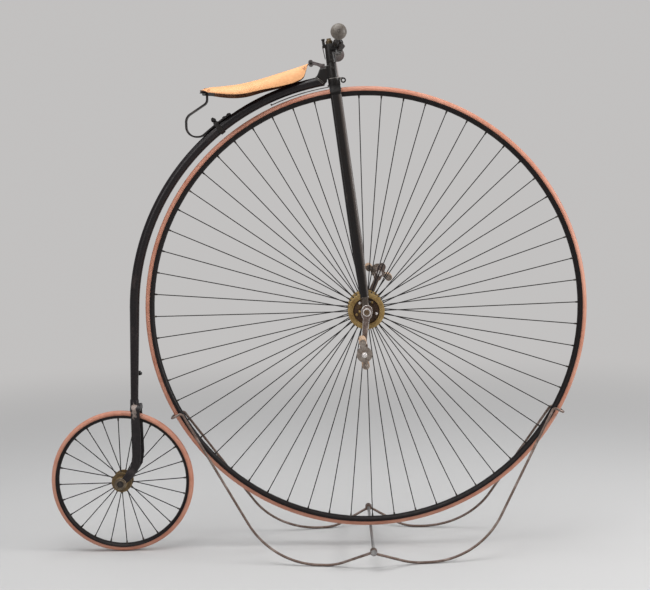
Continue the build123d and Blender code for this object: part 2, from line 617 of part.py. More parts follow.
def stand_rod(shape, eye_y):
    """One bent rod of the stand: eye, foot, knee, hook over the tread and back down."""
    sense, heel_x, heel_y, knee_x, hook_angle = shape
    radius = STAND_ROD_DIAMETER / 2
    hook_radius = FRONT_RADIUS + MOVING_CLEAR + radius
    hook_y = FRONT_RIM_WIDTH / 2 + HOOK_CLEAR + radius
    top_x, top_z = polar(hook_radius - STAND_HOOK_DEPTH, hook_angle)
    out_x, out_z = polar(hook_radius, hook_angle)
    # x, y and z of each corner of one half, from the eye to the hook
    half = [
        (CROSSBAR_X + sense * STAND_EYE_RADIUS * 0.8, eye_y, CROSSBAR_Z - STAND_EYE_RADIUS * 0.5),
        (AXLE_X + sense * heel_x, heel_y, radius),
        (AXLE_X + sense * knee_x, STAND_KNEE_Y, radius),
        (AXLE_X + top_x, hook_y, AXLE_Z + top_z),
        (AXLE_X + out_x, hook_y, AXLE_Z + out_z),
    ]
    right = [(x, -y, z) for x, y, z in half]
    bends = [STAND_HEEL_BEND, STAND_KNEE_BEND, STAND_HOOK_BEND, STAND_HOOK_BEND]
    path = FilletPolyline(*right, *reversed(half), radius=bends + bends[::-1])
    rod = sweep(Plane(path @ 0, z_dir=path % 0) * Circle(radius), path=path)
    for side in SIDES.values():
        place = Pos(CROSSBAR_X, 0, CROSSBAR_Z)
        y_a = side * (eye_y - STAND_EYE_THICKNESS / 2)
        y_b = side * (eye_y + STAND_EYE_THICKNESS / 2)
        rod += place * across(STAND_EYE_RADIUS, y_a, y_b)
        rod -= place * across(CROSSBAR_DIAMETER / 2 + SEAT_CLEAR, y_a - side * 9.0, y_b + side * 9.0)
    return rod


def backbone_tube():
    """Curved hollow backbone, mitred at the neck and tapered to the rear fork."""
    arc = BACKBONE_ARC_END - BACKBONE_ARC_START
    ring = Circle(BACKBONE_RADIUS) - Circle(BACKBONE_RADIUS - BACKBONE_WALL)
    curve = revolve(Pos(BACKBONE_ARC_RADIUS, 0) * ring, Axis.Y, revolution_arc=arc)
    align = (Align.CENTER, Align.CENTER, Align.MIN)
    taper = Cone(BACKBONE_RADIUS, BACKBONE_END_RADIUS, BACKBONE_TAPER_LENGTH, align=align)
    taper -= Cone(
        BACKBONE_RADIUS - BACKBONE_WALL, BACKBONE_END_RADIUS - BACKBONE_WALL,
        BACKBONE_TAPER_LENGTH, align=align)
    tube = curve + Pos(BACKBONE_ARC_RADIUS, 0, 0) * taper
    tube = ARC_CENTRE * turned(BACKBONE_ARC_END) * tube
    cutter_size = 11 * BACKBONE_RADIUS
    cutter = Box(cutter_size, cutter_size, cutter_size, align=(Align.CENTER, Align.CENTER, Align.MIN))
    cutter = STEERING * collar_place() * cutter
    return tube - cutter


def collar_place():
    """Centre of the brazed joint between backbone and neck, facing up the neck."""
    lean = math.radians(HEAD_LEAN)
    centre_q = -BACKBONE_SETBACK * math.cos(lean) - BACKBONE_DROP * math.sin(lean)
    centre_s = BACKBONE_SETBACK * math.sin(lean) - BACKBONE_DROP * math.cos(lean)
    height = centre_s + math.sqrt(BACKBONE_ARC_RADIUS ** 2 - (COLLAR_REACH + centre_q) ** 2)
    return Location((-COLLAR_REACH, 0, height), (0, COLLAR_TILT, 0))


def steering_neck():
    """Neck forging: collar on the backbone, web and the socket round the stem."""
    align = (Align.CENTER, Align.CENTER, Align.MIN)
    place = collar_place()
    collar = place * Pos(0, 0, SEAT_CLEAR) * Cylinder(COLLAR_RADIUS, COLLAR_THICKNESS, align=align)
    middle = SOCKET_S + SOCKET_HEIGHT / 2
    base = (Location((-COLLAR_REACH, 0, place.position.Z)) * Rot(0, COLLAR_TILT, 0))
    heel = base * Pos(COLLAR_RADIUS - 1.5, 0, COLLAR_THICKNESS - 1.0)
    toe = base * Pos(1.5 - COLLAR_RADIUS, 0, COLLAR_THICKNESS - 1.0)
    web = make_face(Polyline(
        (-6.0, SOCKET_S + 2.0),
        (-6.0, SOCKET_S + SOCKET_HEIGHT - 3.0),
        (-NOSE_SEAT_Q, SOCKET_S + SOCKET_HEIGHT - 7.0),
        (-NOSE_SEAT_Q, NOSE_SEAT_S),
        (-NOSE_SEAT_Q - NOSE_SEAT_LENGTH - 1.0, NOSE_SEAT_S),
        (-COLLAR_REACH - 3.0, NOSE_SEAT_S - 16.0),
        (toe.position.X, toe.position.Z),
        (heel.position.X, heel.position.Z),
        close=True,
    ))
    web = extrude(Plane.XZ * web, NECK_WIDTH / 2, both=True)
    rims = web.edges().group_by(Axis.Y)
    web = fillet(rims[0] + rims[-1], 4.0)
    socket = Cone(SOCKET_BOTTOM_RADIUS, SOCKET_TOP_RADIUS, SOCKET_HEIGHT, align=align)
    socket = Pos(0, 0, SOCKET_S) * socket
    web -= Pos(0, 0, SOCKET_S) * Cylinder(CROWN_BOSS_RADIUS + MOVING_CLEAR, 60.0, align=align[:2] + (Align.MAX,))
    bore = Pos(0, 0, middle) * Cylinder(STEM_RADIUS + RUN_CLEAR, 2 * SOCKET_HEIGHT)
    return collar + web + socket - bore


def rear_fork():
    """Rear fork forging: socket on the backbone, crown and two curved blades."""
    half_x = REAR_BLADE_WIDTH / 2 + 1.0
    outer = REAR_BLADE_TOP_Y + REAR_BLADE_THICKNESS / 2 + 1.0
    inner = REAR_BLADE_TOP_Y - REAR_BLADE_THICKNESS / 2 - 1.0
    end_x = AXLE_X - BACKBONE_FOOT + REAR_BLADE_FORWARD
    edge = REAR_CROWN_Z + 5.0
    shoulder = REAR_CROWN_Z + 18.0
    outline = make_face([
        Line((inner, REAR_CROWN_Z), (outer, REAR_CROWN_Z)),
        Line((outer, REAR_CROWN_Z), (outer, edge)),
        ThreePointArc((outer, edge), (outer - 5.0, shoulder - 5.0), (half_x, shoulder)),
        Line((half_x, shoulder), (-half_x, shoulder)),
        ThreePointArc((-half_x, shoulder), (5.0 - outer, shoulder - 5.0), (-outer, edge)),
        Line((-outer, edge), (-outer, REAR_CROWN_Z)),
        Line((-outer, REAR_CROWN_Z), (-inner, REAR_CROWN_Z)),
        ThreePointArc((-inner, REAR_CROWN_Z), (0, REAR_CROWN_Z + 3.0), (inner, REAR_CROWN_Z)),
    ])
    crown = Pos(end_x, 0, 0) * extrude(Plane.YZ * outline, half_x, both=True)
    align = (Align.CENTER, Align.CENTER, Align.MIN)
    place = ARC_CENTRE * turned(BACKBONE_ARC_END) * Pos(BACKBONE_ARC_RADIUS, 0, 0)
    socket = place * Pos(0, 0, BACKBONE_TAPER_LENGTH - 24.0) * Cylinder(half_x - 1.5, 28.0, align=align)
    tube_room = Cone(
        BACKBONE_RADIUS + SEAT_CLEAR, BACKBONE_END_RADIUS + SEAT_CLEAR,
        BACKBONE_TAPER_LENGTH + SEAT_CLEAR, align=align)
    fork = crown + socket - place * tube_room
    # x from the axle, height, distance from the wheel plane, width, thickness, lean of the run
    blade_top = end_x - REAR_AXLE_X
    sections = [
        (blade_top, REAR_CROWN_Z + 4.0, REAR_BLADE_TOP_Y, REAR_BLADE_WIDTH, REAR_BLADE_THICKNESS, 0),
        (blade_top + 1.0, REAR_RADIUS + 84.0, 32.0, REAR_BLADE_WIDTH, REAR_BLADE_THICKNESS, 0),
        (blade_top - 4.0, REAR_RADIUS + 52.0, 34.5, 26.0, REAR_BLADE_THICKNESS - 0.5, 20),
        (blade_top - 20.0, REAR_RADIUS + 26.0, 36.5, 24.0, REAR_BLADE_THICKNESS - 1.0, 42),
        (8.0, REAR_RADIUS + 6.0, REAR_BLADE_FOOT_Y, 20.0, REAR_BLADE_THICKNESS - 1.4, 56),
    ]
    hub_half = REAR_BLADE_THICKNESS / 2 - 0.5
    for side in SIDES.values():
        faces = []
        for x, z, y, width, thickness, lean in sections:
            section = Location((REAR_AXLE_X + x, side * y, z), (0, lean, 0))
            faces.append(section * SlotOverall(width, thickness))
        fork += loft(faces, ruled=True)
        y_a = side * (REAR_BLADE_FOOT_Y - hub_half)
        y_b = side * (REAR_BLADE_FOOT_Y + hub_half)
        fork += REAR_AXLE * across(REAR_EYE_RADIUS, y_a, y_b)
    return fork - REAR_AXLE * across(REAR_AXLE_RADIUS + SEAT_CLEAR, -90.0, 90.0)


def rear_axle():
    """Rear axle bolt with a nut outside each blade."""
    face = REAR_BLADE_FOOT_Y + REAR_BLADE_THICKNESS / 2 - 0.5 + SEAT_CLEAR
    bolt = across(REAR_AXLE_RADIUS, -face - 10.0, face + 10.0)
    nut = extrude(Plane.XZ * RegularPolygon(10.0, 6), 3.5, both=True)
    for side in SIDES.values():
        bolt += Pos(0, side * (face + 3.5), 0) * nut
        y_a = side * (REAR_HUB_HALF_WIDTH + SEAT_CLEAR)
        y_b = side * (REAR_BLADE_FOOT_Y - REAR_BLADE_THICKNESS / 2 + 0.5 - SEAT_CLEAR)
        bolt += across(REAR_AXLE_RADIUS + 3.0, y_a, y_b)
    return bolt


def rear_hub():
    """Brass rear hub: two flanges on a barrel, with a stepped boss outside each."""
    bore = REAR_AXLE_RADIUS + RUN_CLEAR
    half = [
        (REAR_HUB_BARREL_RADIUS, REAR_FLANGE_INNER_Y),
        (REAR_FLANGE_RADIUS, REAR_FLANGE_INNER_Y),
        (REAR_FLANGE_RADIUS, REAR_FLANGE_OUTER_Y),
        (REAR_HUB_STEP_RADIUS, REAR_FLANGE_OUTER_Y),
        (REAR_HUB_STEP_RADIUS, REAR_HUB_HALF_WIDTH),
        (bore, REAR_HUB_HALF_WIDTH),
    ]
    points = half + [(radius, -y) for radius, y in reversed(half)]
    return spun(*points)


# Saddle stations, front to back, as shares of the front wheel's radius, so that the seat
# stays over the backbone: forward of the axle, crown above it, half width, drop of the flap
SADDLE_STATIONS = [
    (-0.2438, 1.1045, 0.0167, 0.0182),
    (-0.2589, 1.1016, 0.0235, 0.0520),
    (-0.2847, 1.0955, 0.0363, 0.0636),
    (-0.4255, 1.0554, 0.0757, 0.0674),
    (-0.5118, 1.0277, 0.1090, 0.0561),
    (-0.5966, 1.0167, 0.1333, 0.0444),
    (-0.6663, 1.0077, 0.1272, 0.0303),
    (-0.7177, 0.9950, 0.0787, 0.0136),
]

# Spring corners from the cantle down, as the same shares, and the bend at each
SPRING_CORNERS = [
    (-0.6913, 0.9880, 0.0000),
    (-0.6913, 0.9411, 0.0273),
    (-0.7882, 0.8790, 0.0424),
    (-0.7882, 0.7912, 0.0454),
]
SPRING_FOOT_BEND = 0.0409


def saddle_arch(station, top, bottom):
    """Arched cross-section of the seat between two depths below its crown."""
    x, crown_z, half_width, drop = [FRONT_RADIUS * share for share in station]
    outer = ThreePointArc(
        (-half_width, crown_z - drop), (0, crown_z - top), (half_width, crown_z - drop))
    inner = ThreePointArc(
        (half_width - bottom + top, crown_z - drop), (0, crown_z - bottom),
        (-half_width + bottom - top, crown_z - drop))
    face = make_face([outer, Line(outer @ 1, inner @ 0), inner, Line(inner @ 1, outer @ 0)])
    return Plane(origin=(AXLE_X + x, 0, AXLE_Z), x_dir=(0, 1, 0), z_dir=(1, 0, 0)) * face


def saddle_leather():
    """Leather seat stretched from its nose to the cantle, with drooping flaps."""
    faces = [saddle_arch(station, 0.0, LEATHER_THICKNESS) for station in SADDLE_STATIONS]
    return loft(faces, ruled=True)


def cantle_plate():
    """Steel plate under the back of the leather, which the spring carries."""
    top = LEATHER_THICKNESS + SEAT_CLEAR
    faces = []
    for x, crown_z, half_width, drop in SADDLE_STATIONS[-2:]:
        narrowed = (x, crown_z, half_width * 0.86, drop * 0.8 + top / FRONT_RADIUS)
        faces.append(saddle_arch(narrowed, top, top + PLATE_THICKNESS))
    return loft(faces, ruled=True)


def saddle_nose_arm():
    """Forged arm from the neck up to the loop that holds the leather's nose."""
    foot = NOSE_SEAT_S + SEAT_CLEAR
    front = -NOSE_SEAT_Q - 0.5
    back = -NOSE_SEAT_Q - NOSE_SEAT_LENGTH
    loop_s = NOSE_SEAT_S + NOSE_LOOP_RISE
    outline = make_face(Polyline(
        (front, foot),
        (front, foot + 12.0),
        (front - 9.0, foot + 13.5),
        (-NOSE_LOOP_Q + 10.0, loop_s + 3.5),
        (-NOSE_LOOP_Q, loop_s + 6.0),
        (-NOSE_LOOP_Q, loop_s - 3.0),
        (back - 8.0, foot + 10.5),
        (back, foot + 5.0),
        (back, foot),
        close=True,
    ))
    arm = extrude(Plane.XZ * outline, NOSE_ARM_WIDTH / 2, both=True)
    loop = Rot(0, 0, 90) * SlotOverall(19.0, 14.0)
    loop = Pos(-NOSE_LOOP_Q, 0, loop_s) * extrude(Plane.XZ * loop, 11.0, both=True)
    return arm + loop - Pos(-NOSE_LOOP_Q, 0, loop_s) * across(3.5, -20.0, 20.0)


def saddle_spring():
    """Flat leaf from the cantle round a C-bend and along the top of the backbone."""
    radius = BACKBONE_ARC_RADIUS + BACKBONE_RADIUS + SEAT_CLEAR + LEAF_THICKNESS / 2
    start_x, start_up = polar(radius, SPRING_LAY_START)
    start = Vector(AXLE_X - BACKBONE_SETBACK + start_x, 0, AXLE_Z - BACKBONE_DROP + start_up)
    points = [(AXLE_X + FRONT_RADIUS * x, 0, AXLE_Z + FRONT_RADIUS * z) for x, z, bend in SPRING_CORNERS]
    bends = [FRONT_RADIUS * bend for x, z, bend in SPRING_CORNERS[1:]] + [FRONT_RADIUS * SPRING_FOOT_BEND]
    slope = math.radians(180 - SPRING_LAY_START)
    back = (start.Z - points[-1][2]) / math.cos(slope)
    points.append((start.X - back * math.sin(slope), 0, points[-1][2]))
    points.append((start.X, 0, start.Z))
    line = FilletPolyline(*points, radius=bends)
    lay = Plane.XZ * CenterArc((0, 0), radius, SPRING_LAY_START, SPRING_LAY_END - SPRING_LAY_START)
    path = line + ARC_CENTRE * lay
    section = Plane(origin=points[0], x_dir=(1, 0, 0), z_dir=(0, 0, -1)) * Rectangle(LEAF_THICKNESS, LEAF_WIDTH)
    return sweep(section, path=path)


def spring_clip():
    """Strap round the backbone and the leaf, with its bolt standing on top."""
    reach = BACKBONE_RADIUS + SEAT_CLEAR
    top = BACKBONE_RADIUS + LEAF_THICKNESS + 3 * SEAT_CLEAR
    inner = Circle(reach) + Pos(0, top / 2) * Rectangle(2 * reach, top)
    wall = reach + CLIP_WALL
    outer = Circle(wall) + Pos(0, (top + CLIP_WALL) / 2) * Rectangle(2 * wall, top + CLIP_WALL)
    strap = extrude(outer - inner, CLIP_WIDTH / 2, both=True)
    bolt = Pos(0, top + CLIP_WALL + 8.0, 0) * Rot(90, 0, 0) * Cylinder(4.0, 17.0)
    clip = strap + bolt
    place = ARC_CENTRE * turned(CLIP_ANGLE) * Pos(BACKBONE_ARC_RADIUS, 0, 0) * Rot(0, 0, -90)
    return place * clip


def mounting_step():
    """Foot step on the left of the backbone, above the rear wheel."""
    along = AXLE_Z - BACKBONE_DROP + polar(BACKBONE_ARC_RADIUS, BACKBONE_ARC_END)[1] - STEP_Z
    share = along / BACKBONE_TAPER_LENGTH
    tube_radius = BACKBONE_RADIUS + (BACKBONE_END_RADIUS - BACKBONE_RADIUS) * share
    tread = SlotOverall(STEP_WIDTH + 8.0, STEP_WIDTH)
    tread = Rot(0, 0, 90) * tread
    tread = Pos(0, tube_radius + STEP_LENGTH / 2 + 4.0, 0) * extrude(tread, STEP_THICKNESS / 2, both=True)
    pad = Pos(0, tube_radius, 0) * Box(18.0, 10.0, 26.0)
    step = tread + pad
    place = ARC_CENTRE * turned(BACKBONE_ARC_END) * Pos(BACKBONE_ARC_RADIUS, 0, 0)
    align = (Align.CENTER, Align.CENTER, Align.MIN)
    tube_room = Cone(
        BACKBONE_RADIUS + SEAT_CLEAR, BACKBONE_END_RADIUS + SEAT_CLEAR, BACKBONE_TAPER_LENGTH, align=align)
    return place * (Pos(0, 0, along) * step - tube_room)


# way the rod runs, heel distances along and across, knee distance, hook angle
REAR_ROD = (-1, REAR_HEEL_X, REAR_HEEL_Y, REAR_KNEE_X, REAR_HOOK_ANGLE)
FRONT_ROD = (1, FRONT_HEEL_X, FRONT_HEEL_Y, FRONT_KNEE_X, FRONT_HOOK_ANGLE)

PARTS = {
    "stand_rear_rod": stand_rod(REAR_ROD, REAR_EYE_Y),
    "stand_front_rod": stand_rod(FRONT_ROD, FRONT_EYE_Y),
    "stand_crossbar": Pos(CROSSBAR_X, 0, CROSSBAR_Z) * across(
        CROSSBAR_DIAMETER / 2, -CROSSBAR_HALF_LENGTH, CROSSBAR_HALF_LENGTH),
    "fork_crown": STEERING * fork_crown(),
    "steering_stem": STEERING * steering_stem(),
    "lamp_eye": STEERING * lamp_eye(),
    "head_lug": STEERING * head_lug(),
    "head_cap": STEERING * head_cap(),
    "handlebar": STEERING * handlebar(),
    "brake_lever": STEERING * brake_lever(),
    "brake_spring": STEERING * brake_spring(),
    "brake_spoon": STEERING * brake_spoon(),
    "front_tyre": FRONT_AXLE * tyre(FRONT_RADIUS, FRONT_TYRE_SECTION),
    "front_rim_spokes": FRONT_AXLE * wire_wheel(
        FRONT_RADIUS, FRONT_TYRE_SECTION, FRONT_RIM_WIDTH, FRONT_RIM_DEPTH,
        (FLANGE_RADIUS, (FLANGE_INNER_Y + FLANGE_OUTER_Y) / 2), FRONT_SPOKES, FRONT_SPOKE_PHASE),
    "front_axle": FRONT_AXLE * front_axle(),
    "backbone_tube": backbone_tube(),
    "steering_neck": STEERING * steering_neck(),
    "rear_fork": rear_fork(),
    "rear_axle": REAR_AXLE * rear_axle(),
    "mounting_step": mounting_step(),
    "saddle_leather": saddle_leather(),
    "cantle_plate": cantle_plate(),
    "saddle_nose_arm": STEERING * saddle_nose_arm(),
    "saddle_spring": saddle_spring(),
    "spring_clip": spring_clip(),
    "rear_tyre": REAR_AXLE * tyre(REAR_RADIUS, REAR_TYRE_SECTION),
    "rear_rim_spokes": REAR_AXLE * wire_wheel(
        REAR_RADIUS, REAR_TYRE_SECTION, REAR_RIM_WIDTH, REAR_RIM_DEPTH,
        (REAR_FLANGE_RADIUS, (REAR_FLANGE_INNER_Y + REAR_FLANGE_OUTER_Y) / 2), REAR_SPOKES, REAR_SPOKE_PHASE),
    "rear_hub": REAR_AXLE * rear_hub(),
}

# name of the side, crank angle, pedal angle
FOOT_SIDES = [
    ("right", CRANK_RIGHT_ANGLE, PEDAL_RIGHT_ANGLE),
    ("left", CRANK_LEFT_ANGLE, PEDAL_LEFT_ANGLE),
]
for name, crank_angle, pedal_angle in FOOT_SIDES:
    side = SIDES[name]
    PARTS["fork_blade_" + name] = STEERING * fork_blade(side)
    PARTS["bearing_housing_" + name] = STEERING * bearing_housing(side)
    PARTS["grip_" + name] = STEERING * grip(side)
    PARTS["front_flange_" + name] = FRONT_AXLE * front_flange(side)
    PARTS["crank_" + name] = crank(side, crank_angle)
    PARTS["pedal_pin_" + name] = pedal_place(crank_angle) * pedal_pin(side)
    PARTS["pedal_frame_" + name] = pedal_place(crank_angle) * turned(pedal_angle) * pedal_frame(side)
    PARTS["pedal_rubbers_" + name] = pedal_place(crank_angle) * turned(pedal_angle) * pedal_rubbers(side)

for node, shape in PARTS.items():
    export_step(shape, os.path.join("parts", node + ".step"))
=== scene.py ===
import json
import math

import bpy
from mathutils import Matrix, Vector


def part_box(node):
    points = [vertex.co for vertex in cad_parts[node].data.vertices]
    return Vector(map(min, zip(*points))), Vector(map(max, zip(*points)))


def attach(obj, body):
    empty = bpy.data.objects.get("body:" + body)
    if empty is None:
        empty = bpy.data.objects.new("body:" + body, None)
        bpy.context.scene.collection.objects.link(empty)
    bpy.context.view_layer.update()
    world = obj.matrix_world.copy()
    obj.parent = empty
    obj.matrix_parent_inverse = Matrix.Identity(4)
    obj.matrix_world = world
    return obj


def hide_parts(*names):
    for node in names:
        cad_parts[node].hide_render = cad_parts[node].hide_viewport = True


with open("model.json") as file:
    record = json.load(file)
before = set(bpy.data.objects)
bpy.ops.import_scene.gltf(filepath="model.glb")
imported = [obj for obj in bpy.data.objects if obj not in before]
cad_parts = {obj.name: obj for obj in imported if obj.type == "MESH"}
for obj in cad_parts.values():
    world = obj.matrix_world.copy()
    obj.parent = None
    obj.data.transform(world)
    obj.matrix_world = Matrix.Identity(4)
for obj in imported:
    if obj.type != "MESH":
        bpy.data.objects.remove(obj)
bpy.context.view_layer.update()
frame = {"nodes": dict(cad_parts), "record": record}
nodes = frame["nodes"]

# The room: a pale seamless floor that fades into an even backdrop, one broad lamp
# overhead as in a photographer's studio, weaker ones beside, before and behind, and the
# camera where the photographer stood, a little left of the big wheel's axle.
backdrop_colour = (0.54, 0.53, 0.525, 1.0)
room_light = (0.86, 0.88, 0.92, 1.0)

world = bpy.data.worlds.new("studio_air")
world.use_nodes = True
bpy.context.scene.world = world
air = world.node_tree
air.nodes.clear()
air_out = air.nodes.new("ShaderNodeOutputWorld")
air_mix = air.nodes.new("ShaderNodeMixShader")
air_seen = air.nodes.new("ShaderNodeBackground")
air_seen.inputs["Color"].default_value = backdrop_colour
air_lit = air.nodes.new("ShaderNodeBackground")
air_lit.inputs["Color"].default_value = room_light
air_lit.inputs["Strength"].default_value = 0.27
air_path = air.nodes.new("ShaderNodeLightPath")
air_any = air.nodes.new("ShaderNodeMath")
air_any.operation = "MAXIMUM"
air.links.new(air_path.outputs["Is Camera Ray"], air_any.inputs[0])
air.links.new(air_path.outputs["Is Transmission Ray"], air_any.inputs[1])
air.links.new(air_any.outputs[0], air_mix.inputs["Fac"])
air.links.new(air_lit.outputs[0], air_mix.inputs[1])
air.links.new(air_seen.outputs[0], air_mix.inputs[2])
air.links.new(air_mix.outputs[0], air_out.inputs["Surface"])

bpy.ops.object.select_all(action="DESELECT")
bpy.ops.mesh.primitive_circle_add(vertices=96, radius=30.0, fill_type="NGON",
                                  location=(0, 0, -0.0005))
floor = bpy.context.object
floor.name = "studio_floor"
paper = bpy.data.materials.new("floor_paper")
paper.use_nodes = True
tree = paper.node_tree
tree.nodes.clear()
out = tree.nodes.new("ShaderNodeOutputMaterial")
mix = tree.nodes.new("ShaderNodeMixShader")
matt = tree.nodes.new("ShaderNodeBsdfPrincipled")
matt.inputs["Base Color"].default_value = (0.53, 0.525, 0.52, 1.0)
matt.inputs["Roughness"].default_value = 0.9
glow = tree.nodes.new("ShaderNodeEmission")
glow.inputs["Color"].default_value = backdrop_colour
where = tree.nodes.new("ShaderNodeTexCoord")
reach = tree.nodes.new("ShaderNodeVectorMath")
reach.operation = "LENGTH"
fade = tree.nodes.new("ShaderNodeMapRange")
fade.interpolation_type = "SMOOTHSTEP"
fade.inputs["From Min"].default_value = 1.2
fade.inputs["From Max"].default_value = 4.2
tree.links.new(where.outputs["Object"], reach.inputs[0])
tree.links.new(reach.outputs["Value"], fade.inputs["Value"])
tree.links.new(fade.outputs["Result"], mix.inputs["Fac"])
tree.links.new(matt.outputs[0], mix.inputs[1])
tree.links.new(glow.outputs[0], mix.inputs[2])
tree.links.new(mix.outputs[0], out.inputs["Surface"])
floor.data.materials.append(paper)

# name, place, spot it faces, side of the square, watts
lamps = [
    ("overhead_softbox", (-0.6, -0.5, 3.7), (0.0, 0.0, 0.7), 3.0, 122.0),
    ("camera_side_fill", (-2.2, -3.4, 2.4), (0.0, 0.0, 0.8), 2.0, 36.0),
    ("front_strip", (2.9, -0.7, 1.7), (0.1, 0.0, 1.1), 0.8, 58.0),
    ("back_fill", (2.4, 3.2, 2.6), (0.0, 0.0, 0.8), 2.0, 12.0),
]
for name, place, spot, size, watts in lamps:
    lamp = bpy.data.lights.new(name, "AREA")
    lamp.energy = watts
    lamp.size = size
    lamp_object = bpy.data.objects.new(name, lamp)
    bpy.context.scene.collection.objects.link(lamp_object)
    lamp_object.location = place
    aim = Vector(spot) - Vector(place)
    lamp_object.rotation_euler = aim.to_track_quat("-Z", "Y").to_euler()

tyre_low, tyre_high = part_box("front_tyre")
axle_x = (tyre_low[0] + tyre_high[0]) / 2
axle_z = (tyre_low[2] + tyre_high[2]) / 2
camera_place = Vector((axle_x - 0.098, -3.649, 1.108))
focal_length = 67.83
camera_pitch = math.radians(5.30)
camera_turn = math.radians(-0.37)
camera_roll = math.radians(-1.24)
ahead = Vector((math.sin(camera_turn) * math.cos(camera_pitch),
                math.cos(camera_turn) * math.cos(camera_pitch), -math.sin(camera_pitch)))
right = Vector((math.cos(camera_turn), -math.sin(camera_turn), 0.0))
up = right.cross(ahead)
across = right * math.cos(camera_roll) + up * math.sin(camera_roll)
upward = -right * math.sin(camera_roll) + up * math.cos(camera_roll)
lens = bpy.data.cameras.new("photographer")
lens.sensor_fit = "HORIZONTAL"
lens.sensor_width = 36.0
lens.lens = focal_length
camera = bpy.data.objects.new("photographer", lens)
bpy.context.scene.collection.objects.link(camera)
camera_turned = Matrix((across, upward, -ahead)).transposed().to_4x4()
camera.matrix_world = Matrix.Translation(camera_place) @ camera_turned
bpy.context.scene.camera = camera
bpy.context.scene.view_settings.view_transform = "Standard"


# The display stand: two steel rods bent cold into loops and hooks, left bare and gone
# grey-brown with handling, and a paler galvanised bar pushed through their eyes, with a
# washer outside the eyes at each end.
bodies = frame["record"]["behaviour"]["bodies"]
body_of = {node: body for body, group in bodies.items() for node in group}


def worked_finish(name, base, worn, shade, metal, rough, scale, wear, grain=0.15,
                  streak=(1, 1, 1), specular=0.5, soft=0.09):
    """Paint, metal or rubber: a base colour, a worn colour in patches and a darker grime."""
    material = bpy.data.materials.new(name)
    material.use_nodes = True
    tree = material.node_tree
    shader = tree.nodes["Principled BSDF"]
    place = tree.nodes.new("ShaderNodeTexCoord")
    mapping = tree.nodes.new("ShaderNodeMapping")
    mapping.inputs["Scale"].default_value = streak
    tree.links.new(place.outputs["Object"], mapping.inputs["Vector"])
    broad = tree.nodes.new("ShaderNodeTexNoise")
    broad.name = "broad"
    broad.inputs["Scale"].default_value = scale
    broad.inputs["Detail"].default_value = 6.0
    broad.inputs["Roughness"].default_value = 0.62
    fine = tree.nodes.new("ShaderNodeTexNoise")
    fine.name = "fine"
    fine.inputs["Scale"].default_value = scale * 9.0
    fine.inputs["Detail"].default_value = 4.0
    patches = tree.nodes.new("ShaderNodeValToRGB")
    patches.name = "patches"
    patches.color_ramp.elements[0].position = 1.0 - wear - soft
    patches.color_ramp.elements[1].position = 1.0 - wear + soft
    grime = tree.nodes.new("ShaderNodeValToRGB")
    grime.name = "grime"
    grime.color_ramp.elements[0].position = 0.30
    grime.color_ramp.elements[1].position = 0.62
    for noise in (broad, fine):
        tree.links.new(mapping.outputs["Vector"], noise.inputs["Vector"])
    tree.links.new(broad.outputs["Fac"], patches.inputs["Fac"])
    tree.links.new(fine.outputs["Fac"], grime.inputs["Fac"])
    under = tree.nodes.new("ShaderNodeMix")
    under.data_type = "RGBA"
    under.inputs["A"].default_value = (*shade, 1.0)
    under.inputs["B"].default_value = (*base, 1.0)
    tree.links.new(grime.outputs["Color"], under.inputs["Factor"])
    over = tree.nodes.new("ShaderNodeMix")
    over.name = "colour"
    over.data_type = "RGBA"
    over.inputs["B"].default_value = (*worn, 1.0)
    tree.links.new(under.outputs["Result"], over.inputs["A"])
    tree.links.new(patches.outputs["Color"], over.inputs["Factor"])
    tree.links.new(over.outputs["Result"], shader.inputs["Base Color"])
    gloss = tree.nodes.new("ShaderNodeMapRange")
    gloss.name = "gloss"
    gloss.inputs["From Min"].default_value = 0.3
    gloss.inputs["From Max"].default_value = 0.7
    gloss.inputs["To Min"].default_value = max(rough - 0.07, 0.03)
    gloss.inputs["To Max"].default_value = min(rough + 0.14, 1.0)
    tree.links.new(fine.outputs["Fac"], gloss.inputs["Value"])
    tree.links.new(gloss.outputs["Result"], shader.inputs["Roughness"])
    bump = tree.nodes.new("ShaderNodeBump")
    bump.name = "bump"
    bump.inputs["Strength"].default_value = grain
    bump.inputs["Distance"].default_value = 0.0006
    tree.links.new(fine.outputs["Fac"], bump.inputs["Height"])
    tree.links.new(bump.outputs["Normal"], shader.inputs["Normal"])
    shader.inputs["Metallic"].default_value = metal
    shader.inputs["Specular IOR Level"].default_value = specular
    return material


def dress(material, *names):
    """Put a finish on carried-over pieces of the frame."""
    for name in names:
        piece = nodes[name]
        piece.data.materials.clear()
        piece.data.materials.append(material)


def pick(*pieces):
    """Select these pieces alone, the first of them active."""
    bpy.ops.object.select_all(action="DESELECT")
    for piece in pieces:
        piece.select_set(True)
    bpy.context.view_layer.objects.active = pieces[0]


def settle(piece, name, material, node):
    """Fix a finished piece: its place goes into its mesh, and it rides with the node that carries
    it. It takes the given finish unless it already has one."""
    pick(piece)
    bpy.ops.object.transform_apply(location=True, rotation=True, scale=True)
    bpy.ops.object.shade_smooth_by_angle(angle=math.radians(38))
    piece.name = name
    piece.data.name = name
    if not piece.data.materials:
        piece.data.materials.append(material)
    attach(piece, body_of[node])
    return piece


def bevelled(piece, width, segments=2, angle=30, rubbed=-1):
    """Break a piece's sharp edges with a bevel, which may show a rubbed material of its own."""
    pick(piece)
    edge = piece.modifiers.new("broken_edges", "BEVEL")
    edge.width = width
    edge.segments = segments
    edge.limit_method = "ANGLE"
    edge.angle_limit = math.radians(angle)
    edge.material = rubbed
    bpy.ops.object.modifier_apply(modifier=edge.name)
    return piece


